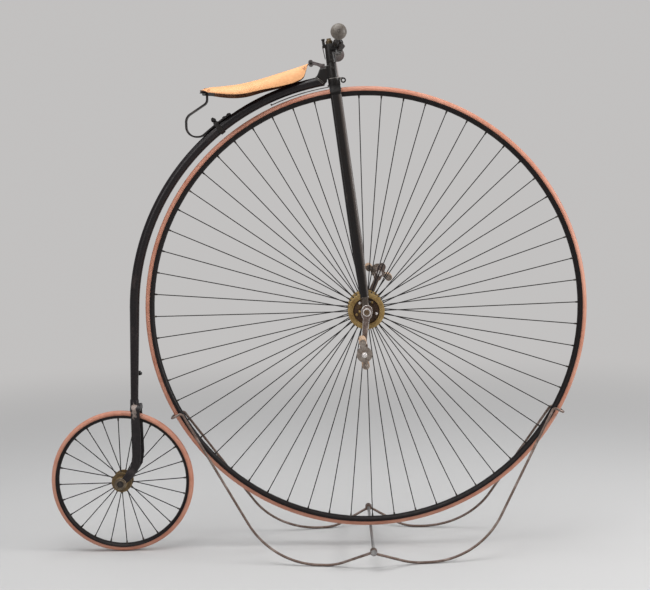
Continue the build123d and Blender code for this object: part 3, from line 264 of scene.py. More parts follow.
def stood(piece, spot, along):
    """Stand a piece made round the vertical at a spot, with its axis along a direction."""
    piece.rotation_euler = Vector(along).to_track_quat("Z", "Y").to_euler()
    piece.location = spot
    bpy.ops.object.transform_apply(location=True, rotation=True, scale=True)
    return piece


def turned(spot, along, rings, sides=32):
    """Turn a piece on the lathe: a disc pulled out ring by ring, each a distance along and a
    radius."""
    bpy.ops.object.select_all(action="DESELECT")
    bpy.ops.mesh.primitive_circle_add(vertices=sides, radius=rings[0][1], fill_type="NGON")
    piece = bpy.context.object
    bpy.ops.object.mode_set(mode="EDIT")
    bpy.ops.mesh.select_all(action="SELECT")
    bpy.ops.transform.translate(value=(0, 0, rings[0][0]))
    for (low, narrow), (high, wide) in zip(rings, rings[1:]):
        bpy.ops.mesh.extrude_region_move(TRANSFORM_OT_translate={"value": (0, 0, high - low)})
        bpy.ops.transform.resize(value=(wide / narrow, wide / narrow, 1), center_override=(0, 0, 0))
    bpy.ops.mesh.select_all(action="SELECT")
    bpy.ops.mesh.normals_make_consistent(inside=False)
    bpy.ops.object.mode_set(mode="OBJECT")
    return stood(piece, spot, along)


def joined(*pieces):
    """Fasten several made pieces into one mesh."""
    pick(*pieces)
    if len(pieces) > 1:
        bpy.ops.object.join()
    return bpy.context.view_layer.objects.active


def nut(spot, along, flat, height, bolt, stand_out):
    """Hexagon nut with chamfered corners, a washer under it and the bolt's end standing out."""
    corner = flat / 2 / math.cos(math.radians(30))
    washer = turned(spot, along, [(0.0, corner * 1.12), (0.0012, corner * 1.12)], 32)
    hexagon = turned(spot, along, [
        (0.0010, corner * 0.94), (0.0022, corner), (height - 0.0012, corner),
        (height, corner * 0.92)], 6)
    tip = height + stand_out
    end = turned(spot, along, [
        (height - 0.001, bolt), (tip - bolt * 0.25, bolt), (tip, bolt * 0.72)], 20)
    return joined(bevelled(hexagon, 0.0004), bevelled(washer, 0.0003), end)


def broken(node, width, material, segments=2, rubbed=None):
    """A node's own shape with its edges broken as by a file, and rubbed bright if asked.
    It stands for the node."""
    piece = bpy.data.objects.new(node + "_dressed", nodes[node].data.copy())
    piece.data.materials.clear()
    piece.data.materials.append(material)
    if rubbed:
        piece.data.materials.append(rubbed)
    bpy.context.scene.collection.objects.link(piece)
    pick(piece)
    bpy.ops.object.mode_set(mode="EDIT")
    bpy.ops.mesh.select_all(action="SELECT")
    bpy.ops.mesh.remove_doubles(threshold=0.00002)
    bpy.ops.mesh.customdata_custom_splitnormals_clear()
    bpy.ops.mesh.dissolve_limited(angle_limit=math.radians(1.5))
    bpy.ops.object.mode_set(mode="OBJECT")
    bevelled(piece, width, segments, rubbed=1 if rubbed else -1)
    settle(piece, node + "_dressed", material, node)
    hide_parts(node)
    return piece


rod_steel = worked_finish(
    "rod_steel", base=(0.175, 0.125, 0.105), worn=(0.29, 0.225, 0.195), shade=(0.10, 0.062, 0.045),
    metal=0.55, rough=0.44, scale=26.0, wear=0.42)
zinc = worked_finish(
    "zinc_plate", base=(0.40, 0.39, 0.385), worn=(0.54, 0.53, 0.52), shade=(0.24, 0.22, 0.21),
    metal=0.8, rough=0.4, scale=34.0, wear=0.4)
dress(rod_steel, "stand_rear_rod", "stand_front_rod")
broken("stand_crossbar", 0.0011, zinc)
bar_low, bar_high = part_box("stand_crossbar")
bar_x = (bar_low[0] + bar_high[0]) / 2
bar_z = (bar_low[2] + bar_high[2]) / 2
rod_low, rod_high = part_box("stand_front_rod")
eye_edge = max(abs(rod_low[1]), abs(rod_high[1]))
washer_seat = 0.0002
washer_rings = [(0.0, 0.0088), (0.0014, 0.0088), (0.0016, 0.0082), (0.0016, 0.0050), (0.0010, 0.0046)]
sides = ((-1, "right"), (1, "left"))
for side, name in sides:
    washer_spot = (bar_x, side * (eye_edge - washer_seat), bar_z)
    washer = turned(washer_spot, (0, side, 0), washer_rings, 28)
    settle(washer, "crossbar_washer_" + name, zinc, "stand_crossbar")


# The front wheel: a solid rubber tyre of about 22 mm, faded to rose and orange, cemented
# into a crescent rim rolled from steel and enamelled black, with sixty direct spokes whose
# round heads sit in the rim and whose threaded ends are locked by nipples in the flanges.
tyre_rubber = worked_finish(
    "rose_rubber", base=(0.50, 0.205, 0.130), worn=(0.60, 0.295, 0.205), shade=(0.42, 0.155, 0.092),
    metal=0.0, rough=0.50, scale=7.0, wear=0.42, grain=0.03, soft=0.20, specular=0.5)
rim_enamel = worked_finish(
    "rim_enamel", base=(0.0070, 0.0050, 0.0050), worn=(0.030, 0.019, 0.016),
    shade=(0.012, 0.0075, 0.007), metal=0.0, rough=0.42, scale=15.0, wear=0.33, specular=0.22,
    soft=0.05)
dress(tyre_rubber, "front_tyre")
dress(rim_enamel, "front_rim_spokes")
spoke_steel = worked_finish(
    "spoke_fitting_steel", base=(0.05, 0.042, 0.038), worn=(0.13, 0.11, 0.095),
    shade=(0.02, 0.016, 0.014), metal=0.6, rough=0.45, scale=60.0, wear=0.42)


def spoke_fittings(name, hub, start, end, count, phase, node):
    """Heads at the rim and nipples at the flanges: one of each is turned, then copied round
    the wheel. A spoke's start and end are its distances from the axle and aside."""
    head_rings = [(-0.0085, 0.0016), (-0.0070, 0.0023), (0.0, 0.0029), (0.003, 0.0029)]
    head = turned((0, 0, 0), (0, 0, 1), head_rings, 10)
    nipple_rings = [(-0.002, 0.0022), (0.0030, 0.0022), (0.0038, 0.0019), (0.0060, 0.0017)]
    nipple = turned((0, 0, 0), (0, 0, 1), nipple_rings, 6)
    made = []
    for number in range(count):
        side = -1 if number % 2 == 0 else 1
        angle = math.radians(phase + number * 360 / count)
        spin = Matrix.Rotation(-angle, 4, "Y")
        low = spin @ Vector((start[0], side * start[1], 0))
        high = spin @ Vector((end[0], side * end[1], 0))
        lean = (high - low).to_track_quat("Z", "Y").to_matrix().to_4x4()
        for pattern, place in ((head, high), (nipple, low)):
            copy = pattern.copy()
            copy.data = pattern.data.copy()
            bpy.context.scene.collection.objects.link(copy)
            copy.data.transform(Matrix.Translation(Vector(hub) + place) @ lean)
            made.append(copy)
    bpy.data.objects.remove(head)
    bpy.data.objects.remove(nipple)
    settle(joined(*made), name, spoke_steel, node)


spoke_fittings(
    "front_spoke_fittings", hub=(axle_x, 0, axle_z), start=(0.0543, 0.052), end=(0.6335, 0.0025),
    count=60, phase=0.8, node="front_rim_spokes")


# The front hub: two cast brass flanges on a steel barrel, dished outside and lacquered
# there to a dark reddish brown, held by five bolts each, whose washers show in the dish.
brass = worked_finish(
    "dull_brass", base=(0.33, 0.215, 0.072), worn=(0.43, 0.30, 0.122), shade=(0.19, 0.108, 0.036),
    metal=0.45, rough=0.47, scale=34.0, wear=0.42, soft=0.16)
rubbed_brass = worked_finish(
    "rubbed_brass", base=(0.52, 0.37, 0.15), worn=(0.64, 0.49, 0.25), shade=(0.33, 0.21, 0.08),
    metal=0.6, rough=0.36, scale=50.0, wear=0.42)
dish_brown = worked_finish(
    "dish_brown", base=(0.075, 0.036, 0.016), worn=(0.20, 0.125, 0.045),
    shade=(0.028, 0.015, 0.009), metal=0.3, rough=0.5, scale=52.0, wear=0.36)
oiled_steel = worked_finish(
    "oiled_steel", base=(0.055, 0.048, 0.044), worn=(0.12, 0.10, 0.09), shade=(0.03, 0.026, 0.023),
    metal=0.7, rough=0.42, scale=40.0, wear=0.4)
bright_steel = worked_finish(
    "bright_steel", base=(0.74, 0.69, 0.66), worn=(0.86, 0.83, 0.81), shade=(0.42, 0.34, 0.30),
    metal=0.6, rough=0.30, scale=60.0, wear=0.45)


def ringed(spot, along, profile, sides=48):
    """Turn a ring with a hole: a hoop pulled round a closed profile, each corner a distance
    along and a radius."""
    bpy.ops.object.select_all(action="DESELECT")
    bpy.ops.mesh.primitive_circle_add(vertices=sides, radius=profile[0][1], fill_type="NOTHING")
    piece = bpy.context.object
    bpy.ops.object.mode_set(mode="EDIT")
    bpy.ops.mesh.select_all(action="SELECT")
    bpy.ops.transform.translate(value=(0, 0, profile[0][0]))
    for (low, narrow), (high, wide) in zip(profile, profile[1:] + profile[:1]):
        bpy.ops.mesh.extrude_edges_move(TRANSFORM_OT_translate={"value": (0, 0, high - low)})
        bpy.ops.transform.resize(value=(wide / narrow, wide / narrow, 1), center_override=(0, 0, 0))
    bpy.ops.mesh.select_all(action="SELECT")
    bpy.ops.mesh.remove_doubles(threshold=0.00001)
    bpy.ops.mesh.normals_make_consistent(inside=False)
    bpy.ops.object.mode_set(mode="OBJECT")
    return stood(piece, spot, along)


dish_floor = 0.0511
flange_face = 0.0570
bolt_seat = 0.0519
bolt_circle = 0.0305
bolt_angles = (129, 57, -15, -87, -159)
# Two of the five bolts on each flange are bright steel as a painted glint; the rest are brass.
painted_glint_bolts = (0, 2)
dish_profile = [(0.0, 0.0385), (0.0007, 0.0385), (0.0011, 0.0375), (0.0011, 0.0225), (0.0030, 0.0215),
                (0.0030, 0.0190), (0.0, 0.0190)]
bead_profile = [(-0.0004, 0.0412), (0.0006, 0.0410), (0.0006, 0.0396), (-0.0004, 0.0394)]
broken("front_axle", 0.0008, oiled_steel)
for side, name in sides:
    flange = "front_flange_" + name
    broken(flange, 0.0009, brass, rubbed=rubbed_brass)
    dish = ringed((axle_x, side * dish_floor, axle_z), (0, side, 0), dish_profile, 64)
    settle(dish, "flange_dish_" + name, dish_brown, flange)
    bead = ringed((axle_x, side * flange_face, axle_z), (0, side, 0), bead_profile, 72)
    settle(bead, "flange_bead_" + name, brass, flange)
    for number, degrees in enumerate(bolt_angles):
        angle = math.radians(degrees)
        spot = (axle_x + bolt_circle * math.cos(angle), side * bolt_seat,
                axle_z + bolt_circle * math.sin(angle))
        bolt = nut(spot, (0, side, 0), flat=0.0066, height=0.0030, bolt=0.0020, stand_out=0.0012)
        # The chosen bolts take bright steel as a painted glint.
        bright = number in painted_glint_bolts
        settle(bolt, f"flange_bolt_{name}_{number + 1}", bright_steel if bright else brass, flange)


# The cranks: forged steel arms with a round-ended boss on the axle and a wide head for the
# pedal pin, once nickelled, now bright only on their edges. The centre-drilled end of the
# axle shows in each boss, inside a polished collar.
worn_nickel = worked_finish(
    "worn_nickel", base=(0.255, 0.195, 0.170), worn=(0.52, 0.455, 0.415),
    shade=(0.12, 0.078, 0.060), metal=0.75, rough=0.33, scale=60.0, wear=0.36, soft=0.12)
axle_brown = worked_finish(
    "axle_brown", base=(0.16, 0.105, 0.062), worn=(0.28, 0.20, 0.12), shade=(0.07, 0.042, 0.026),
    metal=0.5, rough=0.42, scale=80.0, wear=0.42)
axle_stand_out = 0.0026
drilled_end = [(0.0, 0.0076), (0.0011, 0.0076), (0.0017, 0.0070), (0.0017, 0.0027), (0.0007, 0.0012)]
collar_profile = [(-0.0005, 0.0122), (0.0010, 0.0120), (0.0014, 0.0114), (0.0014, 0.0086),
                  (-0.0005, 0.0084)]
for side, name in sides:
    broken("crank_" + name, 0.0022, worn_nickel, 3, bright_steel)
    low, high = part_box("crank_" + name)
    face_y = low[1] if side < 0 else high[1]
    end_spot = (axle_x, face_y + side * axle_stand_out, axle_z)
    axle_end = turned(end_spot, (0, side, 0), drilled_end, 40)
    settle(axle_end, "axle_end_" + name, axle_brown, "crank_" + name)
    collar = ringed((axle_x, face_y, axle_z), (0, side, 0), collar_profile, 40)
    settle(collar, "crank_collar_" + name, bright_steel, "crank_" + name)


# The pedals: a barrel between a slim inner plate and a round outer one, nickelled, and
# two rolls of aged rubber moulded with ribs all round. A domed nut ends each pin.
pedal_nickel = worked_finish(
    "pedal_nickel", base=(0.26, 0.215, 0.180), worn=(0.42, 0.37, 0.325), shade=(0.14, 0.102, 0.078),
    metal=0.6, rough=0.42, scale=55.0, wear=0.42, soft=0.16)
roll_rubber = worked_finish(
    "peach_rubber", base=(0.47, 0.315, 0.205), worn=(0.62, 0.45, 0.315), shade=(0.27, 0.16, 0.10),
    metal=0.0, rough=0.6, scale=60.0, wear=0.44, grain=0.25, specular=0.35, soft=0.16)
pedal_lean = {"right": 96.3, "left": -27.0}
roll_offsets = (-0.0335, 0.0335)
roll_end, roll_shoulder, rib_top, rib_foot = 0.0088, 0.0102, 0.0109, 0.0097
roll_chamfer = 0.0008
rib_count = 14
end_plate = 0.00415
rivet_seat = 0.0002
dome_seat = 0.0004
dome_rings = [(0.0, 0.0062), (0.0012, 0.0062), (0.0026, 0.0052), (0.0034, 0.0034), (0.0037, 0.0012)]
rivet_rings = [(0.0, 0.0046), (0.0010, 0.0043), (0.0019, 0.0030), (0.0023, 0.0012)]
for side, name in sides:
    broken("pedal_frame_" + name, 0.0008, pedal_nickel, rubbed=bright_steel)
    broken("pedal_pin_" + name, 0.0008, bright_steel)
    low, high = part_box("pedal_pin_" + name)
    pin_x, pin_z = (low[0] + high[0]) / 2, (low[2] + high[2]) / 2
    end_y = low[1] if side < 0 else high[1]
    dome = turned((pin_x, end_y - side * dome_seat, pin_z), (0, side, 0), dome_rings, 32)
    settle(dome, "pedal_dome_" + name, bright_steel, "pedal_pin_" + name)
    low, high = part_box("pedal_rubbers_" + name)
    lean = math.radians(pedal_lean[name])
    inner, outer = (high[1], low[1]) if side < 0 else (low[1], high[1])
    length = abs(outer - inner)
    ribs = [(0.0, roll_end), (roll_chamfer, roll_shoulder)]
    pitch = (length - 2 * roll_chamfer) / rib_count
    for number in range(rib_count):
        foot = roll_chamfer + number * pitch
        ribs += [(foot + 0.25 * pitch, rib_top), (foot + 0.68 * pitch, rib_top),
                 (foot + 0.82 * pitch, rib_foot), (foot + pitch, rib_foot)]
    ribs[-1] = (length - roll_chamfer, roll_shoulder)
    ribs.append((length, roll_end))
    rolls = []
    for offset in roll_offsets:
        spot = (pin_x + offset * math.cos(lean), inner, pin_z + offset * math.sin(lean))
        rolls.append(turned(spot, (0, side, 0), ribs, 28))
    rolls = settle(joined(*rolls), "pedal_rolls_" + name, roll_rubber, "pedal_rubbers_" + name)
    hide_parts("pedal_rubbers_" + name)
    disc_y = low[1] - end_plate if side < 0 else high[1] + end_plate
    for number, offset in enumerate(roll_offsets):
        spot = (pin_x + offset * math.cos(lean), disc_y - side * rivet_seat,
                pin_z + offset * math.sin(lean))
        rivet = turned(spot, (0, side, 0), rivet_rings, 20)
        settle(rivet, f"roll_rivet_{name}_{number + 1}", pedal_nickel, "pedal_frame_" + name)


# The front fork: hollow steel blades, flat inside and out, brazed into a forged crown over the
# tyre, all enamelled black, with a paler strip painted down the blades' front as a highlight.
# Each blade's foot stands on the bearing case of the hub, which a pinch bolt draws tight.
fork_enamel = worked_finish(
    "fork_enamel", base=(0.0068, 0.0058, 0.0054), worn=(0.038, 0.030, 0.024),
    shade=(0.014, 0.0105, 0.009), metal=0.0, rough=0.33, scale=13.0, wear=0.335, specular=0.30,
    soft=0.045, streak=(1.6, 1.6, 0.45))
rubbed_enamel = worked_finish(
    "rubbed_enamel", base=(0.040, 0.033, 0.028), worn=(0.16, 0.135, 0.115),
    shade=(0.016, 0.012, 0.010), metal=0.25, rough=0.34, scale=24.0, wear=0.40, soft=0.12)
case_steel = worked_finish(
    "case_steel", base=(0.125, 0.10, 0.082), worn=(0.36, 0.33, 0.30), shade=(0.045, 0.032, 0.025),
    metal=0.6, rough=0.4, scale=60.0, wear=0.38, soft=0.12)
crown_enamel = worked_finish(
    "crown_enamel", base=(0.0060, 0.0050, 0.0048), worn=(0.026, 0.020, 0.017),
    shade=(0.011, 0.009, 0.008), metal=0.0, rough=0.52, scale=16.0, wear=0.335, specular=0.14,
    soft=0.05)
broken("fork_crown", 0.0016, crown_enamel, rubbed=crown_enamel)
lean_angle = math.radians(6.85)


def painted_front_highlight(material, colour, start, end):
    """Paint a paler strip down the front of a piece as a highlight: it begins at one distance
    ahead of the steering line and is full at another."""
    tree = material.node_tree
    place = tree.nodes.new("ShaderNodeTexCoord")
    ahead_of_line = tree.nodes.new("ShaderNodeVectorMath")
    ahead_of_line.operation = "DOT_PRODUCT"
    ahead_of_line.inputs[1].default_value = (math.cos(lean_angle), 0.0, math.sin(lean_angle))
    line = axle_x * math.cos(lean_angle) + axle_z * math.sin(lean_angle)
    strip = tree.nodes.new("ShaderNodeMapRange")
    strip.interpolation_type = "SMOOTHSTEP"
    strip.inputs["From Min"].default_value = line + start
    strip.inputs["From Max"].default_value = line + end
    # The paler colour mixed in here is a painted highlight along the front edge.
    highlight_paint = tree.nodes.new("ShaderNodeMix")
    highlight_paint.data_type = "RGBA"
    highlight_paint.inputs["B"].default_value = (*colour, 1.0)
    tree.links.new(place.outputs["Object"], ahead_of_line.inputs[0])
    tree.links.new(ahead_of_line.outputs["Value"], strip.inputs["Value"])
    tree.links.new(strip.outputs["Result"], highlight_paint.inputs["Factor"])
    tree.links.new(tree.nodes["colour"].outputs["Result"], highlight_paint.inputs["A"])
    tree.links.new(highlight_paint.outputs["Result"], tree.nodes["Principled BSDF"].inputs["Base Color"])


# The blades and the head get a painted highlight: a paler strip down their front edges, brighter on
# the head.
blade_enamel = fork_enamel.copy()
blade_enamel.name = "blade_enamel"
painted_front_highlight(blade_enamel, (0.085, 0.070, 0.062), 0.0035, 0.0125)
head_enamel = fork_enamel.copy()
head_enamel.name = "head_enamel"
painted_front_highlight(head_enamel, (0.30, 0.26, 0.25), 0.0108, 0.0138)
dress(blade_enamel, "fork_blade_right", "fork_blade_left")


def on_head(forward, aside, upward):
    """Point by its distances ahead of, beside and along the steering line from the axle."""
    x = axle_x + forward * math.cos(lean_angle) - upward * math.sin(lean_angle)
    z = axle_z + forward * math.sin(lean_angle) + upward * math.cos(lean_angle)
    return Vector((x, aside, z))


def along_head(forward, aside, upward):
    """Direction in the steering line's frame."""
    return on_head(forward, aside, upward) - on_head(0, 0, 0)


case_face = 0.0800
case_middle = 0.0712
cover_profile = [(0.0, 0.0172), (0.0010, 0.0170), (0.0016, 0.0160), (0.0016, 0.0118), (0.0, 0.0116)]
cup_rings = [(-0.002, 0.0034), (0.0026, 0.0034), (0.0030, 0.0042), (0.0052, 0.0042), (0.0062, 0.0030)]
pinch_ahead, pinch_up = 0.0100, 0.0265
cup_behind = Vector((-0.0170, 0, -0.0002))
for side, name in sides:
    case = "bearing_housing_" + name
    broken(case, 0.0011, case_steel, rubbed=bright_steel)
    cover = ringed((axle_x, side * case_face, axle_z), (0, side, 0), cover_profile, 48)
    settle(cover, "bearing_cover_" + name, case_steel, case)
    pinch = nut(
        on_head(pinch_ahead, side * case_middle, pinch_up), along_head(1, 0, 0), flat=0.0080,
        height=0.0050, bolt=0.0026, stand_out=0.0030)
    settle(pinch, "case_bolt_" + name, oiled_steel, case)
    cup = turned(on_head(0, side * case_middle, 0) + cup_behind, (-1, 0, 0), cup_rings, 20)
    settle(cup, "oil_cup_" + name, brass, case)


# The head: a lug clamped on the stem, a brass centre screw on top, the lamp's eye on a
# band under the socket, and a flat return spring with its knob at the back. All are dark,
# and paler at edges where a spanner or a hand has been.
head_steel = worked_finish(
    "head_steel", base=(0.020, 0.0165, 0.0145), worn=(0.085, 0.070, 0.058),
    shade=(0.010, 0.008, 0.007), metal=0.3, rough=0.40, scale=34.0, wear=0.37, soft=0.08,
    specular=0.35)
brown_brass = worked_finish(
    "brown_brass", base=(0.125, 0.088, 0.045), worn=(0.23, 0.17, 0.090),
    shade=(0.060, 0.040, 0.022), metal=0.5, rough=0.46, scale=38.0, wear=0.42, soft=0.14)
edge_steel = worked_finish(
    "edge_steel", base=(0.19, 0.175, 0.160), worn=(0.33, 0.31, 0.29), shade=(0.08, 0.068, 0.060),
    metal=0.6, rough=0.40, scale=50.0, wear=0.42, soft=0.14)
broken("head_lug", 0.0012, fork_enamel, rubbed=rubbed_enamel)
broken("head_cap", 0.0006, brown_brass)
broken("lamp_eye", 0.0006, fork_enamel)
broken("brake_spring", 0.0005, head_steel)
dress(oiled_steel, "steering_stem")
up_head = along_head(0, 0, 1)
thumb_rings = [(0.0, 0.0040), (0.0006, 0.0053), (0.0044, 0.0053), (0.0050, 0.0040)]
thumb_nut = turned(on_head(-0.0154, 0, 0.8020), up_head, thumb_rings, 18)
settle(bevelled(thumb_nut, 0.0003), "spring_thumb_nut", head_steel, "brake_spring")
lock_nut = nut(
    on_head(0.0015, 0, 0.7949), up_head, flat=0.0170, height=0.0050, bolt=0.0040, stand_out=0.0005)
settle(lock_nut, "centre_lock_nut", brown_brass, "head_cap")
band_profile = [(-0.0016, 0.0176), (-0.0010, 0.0184), (0.0004, 0.0184), (0.0010, 0.0172),
                (-0.0016, 0.0170)]
band_ring = ringed(on_head(0, 0, 0.6896), up_head, band_profile, 56)
settle(band_ring, "lamp_band_bead", edge_steel, "lamp_eye")
band_bolt = nut(
    on_head(0.0198, -0.0022, 0.6866), along_head(0, -1, 0), flat=0.0055, height=0.0032, bolt=0.0016,
    stand_out=0.0010)
settle(band_bolt, "lamp_band_bolt", edge_steel, "lamp_eye")
for number, up_stem in enumerate((0.7415, 0.7560)):
    lug_screw = nut(
        on_head(0.0005, -0.0142, up_stem), along_head(0.1, -1, 0), flat=0.0062, height=0.0026,
        bolt=0.0016, stand_out=0.0008)
    settle(lug_screw, f"lug_screw_{number + 1}", head_steel, "head_lug")


# The handlebar: one straight steel bar through the ears of the lug, with pear handles of
# horn, the left one browner and darker, its darkness partly painted shade. Each has a ferrule
# at its neck and a screw sunk in its end.
bar_enamel = worked_finish(
    "bar_enamel", base=(0.014, 0.012, 0.011), worn=(0.10, 0.085, 0.072), shade=(0.03, 0.024, 0.02),
    metal=0.2, rough=0.36, scale=22.0, wear=0.36, soft=0.06, streak=(1, 0.5, 1))
grey_horn = worked_finish(
    "grey_horn", base=(0.135, 0.116, 0.098), worn=(0.195, 0.172, 0.147),
    shade=(0.075, 0.060, 0.050), metal=0.0, rough=0.42, scale=38.0, wear=0.42, soft=0.18,
    streak=(1, 0.35, 1), specular=0.35)
# The left grip's darker brown is partly its own colour and partly painted shade.
brown_horn_and_painted_shade = worked_finish(
    "brown_horn_and_painted_shade", base=(0.060, 0.036, 0.031), worn=(0.100, 0.064, 0.055),
    shade=(0.032, 0.018, 0.015), metal=0.0, rough=0.45, scale=38.0, wear=0.42, soft=0.18,
    streak=(1, 0.35, 1), specular=0.25)
dress(bar_enamel, "handlebar")
dress(grey_horn, "grip_right")
dress(brown_horn_and_painted_shade, "grip_left")
bar_ahead, bar_up = 0.0265, 0.7862
grip_neck, grip_end = 0.2304, 0.3246
ear_face, ear_bolt_seat = 0.0200, 0.0196
ear_bolts_ahead = (-0.00946, 0.01247)
ear_bolt_drop = 0.0077
ferrule_profile = [(-0.0040, 0.0082), (-0.0034, 0.0118), (-0.0014, 0.0131), (0.0006, 0.0131),
                   (0.0022, 0.0126), (0.0010, 0.0084)]
screw_profile = [(-0.0020, 0.0044), (0.0000, 0.0044), (0.0003, 0.0036), (-0.0008, 0.0024),
                 (-0.0020, 0.0006)]
ear_profile = [(-0.0010, 0.0125), (-0.0010, 0.0150), (0.0012, 0.0150), (0.0020, 0.0142),
               (0.0020, 0.0125)]
for side, name in sides:
    outward = (0, side, 0)
    ferrule = ringed(on_head(bar_ahead, side * grip_neck, bar_up), outward, ferrule_profile, 40)
    settle(ferrule, "grip_ferrule_" + name, edge_steel, "grip_" + name)
    screw = ringed(on_head(bar_ahead, side * grip_end, bar_up), outward, screw_profile, 24)
    settle(screw, "grip_screw_" + name, oiled_steel, "grip_" + name)
    ear_ring = ringed(on_head(bar_ahead, side * ear_face, bar_up), outward, ear_profile, 40)
    settle(ear_ring, "ear_washer_" + name, head_steel, "head_lug")
    for number, off_bar in enumerate(ear_bolts_ahead):
        bolt_spot = on_head(bar_ahead + off_bar, side * ear_bolt_seat, bar_up - ear_bolt_drop)
        bolt = nut(bolt_spot, outward, flat=0.0056, height=0.0034, bolt=0.0016, stand_out=0.0010)
        settle(bolt, f"ear_bolt_{name}_{number + 1}", head_steel, "head_lug")


# The brake: a hand lever hung under the ears on a pin, and a thin spoon on a strip over
# the tyre with a rolled lip at its end, forged steel left dark.
lever_brown = worked_finish(
    "lever_brown", base=(0.020, 0.0135, 0.012), worn=(0.060, 0.042, 0.036),
    shade=(0.010, 0.007, 0.006), metal=0.0, rough=0.55, scale=34.0, wear=0.37, soft=0.08,
    specular=0.15)
broken("brake_lever", 0.0012, lever_brown)
broken("brake_spoon", 0.0005, oiled_steel)
pivot_ahead, pivot_up = 0.0295, 0.7682
pivot_seat, pin_end = 0.0205, 0.0215
for side, name in sides:
    pivot = nut(
        on_head(pivot_ahead, side * pivot_seat, pivot_up), (0, side, 0), flat=0.0080,
        height=0.0042, bolt=0.0024, stand_out=0.0016)
    settle(pivot, "lever_pivot_" + name, head_steel, "brake_lever")
pin_rings = [(0.0, 0.0034), (0.002, 0.0040), (0.041, 0.0040), (0.043, 0.0034)]
pin = turned(on_head(pivot_ahead, -pin_end, pivot_up), (0, 1, 0), pin_rings, 20)
settle(pin, "lever_pin", head_steel, "brake_lever")
spoon_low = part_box("brake_spoon")[0]
lip_spot = (spoon_low[0] + 0.0008, -0.0090, spoon_low[2] + 0.0012)
lip_rings = [(0.0, 0.0020), (0.0008, 0.0026), (0.0172, 0.0026), (0.0180, 0.0020)]
lip = turned(lip_spot, (0, 1, 0), lip_rings, 18)
settle(lip, "spoon_lip", oiled_steel, "brake_spoon")


# The backbone: a steel tube bent round the wheel and drawn down to the rear fork, brazed
# into the neck's collar, enamelled black with a purplish bloom and worn to brown in
# patches.
back_enamel = worked_finish(
    "backbone_enamel", base=(0.0068, 0.0048, 0.0056), worn=(0.034, 0.024, 0.023),
    shade=(0.0135, 0.009, 0.010), metal=0.0, rough=0.30, scale=12.0, wear=0.33, specular=0.32,
    soft=0.05)
dress(back_enamel, "backbone_tube")
# The neck's enamel carries the painted highlight strip down its front.
broken("steering_neck", 0.0009, head_enamel, rubbed=rubbed_enamel)
collar_middle = on_head(-0.0425, 0, 0.68585)
collar_way = along_head(0.7071, 0, 0.7071)
bead_places = (0.0003, 0.0045)
bead_profile = [(-0.0007, 0.0172), (-0.0003, 0.0181), (0.0004, 0.0181), (0.0008, 0.0172)]
for number, reach in enumerate(bead_places):
    bead = ringed(collar_middle + collar_way * reach, collar_way, bead_profile, 56)
    settle(bead, f"collar_bead_{number + 1}", edge_steel, "steering_neck")
oiler_rings = [(-0.001, 0.0036), (0.0016, 0.0036), (0.0020, 0.0044), (0.0036, 0.0044),
               (0.0046, 0.0032)]
oiler = turned(on_head(0.0004, -0.0150, 0.7190), along_head(0.05, -1, 0.1), oiler_rings, 20)
settle(oiler, "neck_oil_cap", head_steel, "steering_neck")


# The rear fork: a forging that caps the tube's end, with two blades curved back to the
# axle, enamelled like the backbone, and knocked down to bare steel at the crown.
rear_enamel = worked_finish(
    "rear_fork_enamel", base=(0.0085, 0.0062, 0.0075), worn=(0.052, 0.040, 0.040),
    shade=(0.018, 0.013, 0.015), metal=0.0, rough=0.36, scale=15.0, wear=0.345, specular=0.32,
    soft=0.06)
crown_low, crown_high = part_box("rear_fork")
bare_middle = (crown_high[0] - 0.017, crown_low[1] + 0.012, 0.440)
bare_reach = (0.0080, 0.018, 0.029)
bare_colour = (0.27, 0.215, 0.19, 1.0)
raggedness = 2.4
tree = rear_enamel.node_tree
shader = tree.nodes["Principled BSDF"]
spot_place = tree.nodes.new("ShaderNodeTexCoord")
spot_map = tree.nodes.new("ShaderNodeMapping")
spot_map.vector_type = "TEXTURE"
spot_map.inputs["Location"].default_value = bare_middle
spot_map.inputs["Scale"].default_value = bare_reach
spot_reach = tree.nodes.new("ShaderNodeVectorMath")
spot_reach.operation = "LENGTH"
ragged = tree.nodes.new("ShaderNodeTexNoise")
ragged.inputs["Scale"].default_value = 95.0
ragged.inputs["Detail"].default_value = 5.0
spread = tree.nodes.new("ShaderNodeMath")
spread.operation = "MULTIPLY_ADD"
spread.inputs[1].default_value = raggedness
mask = tree.nodes.new("ShaderNodeMapRange")
mask.inputs["From Min"].default_value = 2.22
mask.inputs["From Max"].default_value = 1.86
bare = tree.nodes.new("ShaderNodeMix")
bare.data_type = "RGBA"
bare.inputs["B"].default_value = bare_colour
tree.links.new(spot_place.outputs["Object"], spot_map.inputs["Vector"])
tree.links.new(spot_map.outputs["Vector"], spot_reach.inputs[0])
tree.links.new(spot_place.outputs["Object"], ragged.inputs["Vector"])
tree.links.new(ragged.outputs["Fac"], spread.inputs[0])
tree.links.new(spot_reach.outputs["Value"], spread.inputs[2])
tree.links.new(spread.outputs["Value"], mask.inputs["Value"])
tree.links.new(mask.outputs["Result"], bare.inputs["Factor"])
tree.links.new(tree.nodes["colour"].outputs["Result"], bare.inputs["A"])
tree.links.new(bare.outputs["Result"], shader.inputs["Base Color"])
broken("rear_fork", 0.0010, rear_enamel, rubbed=rubbed_enamel)


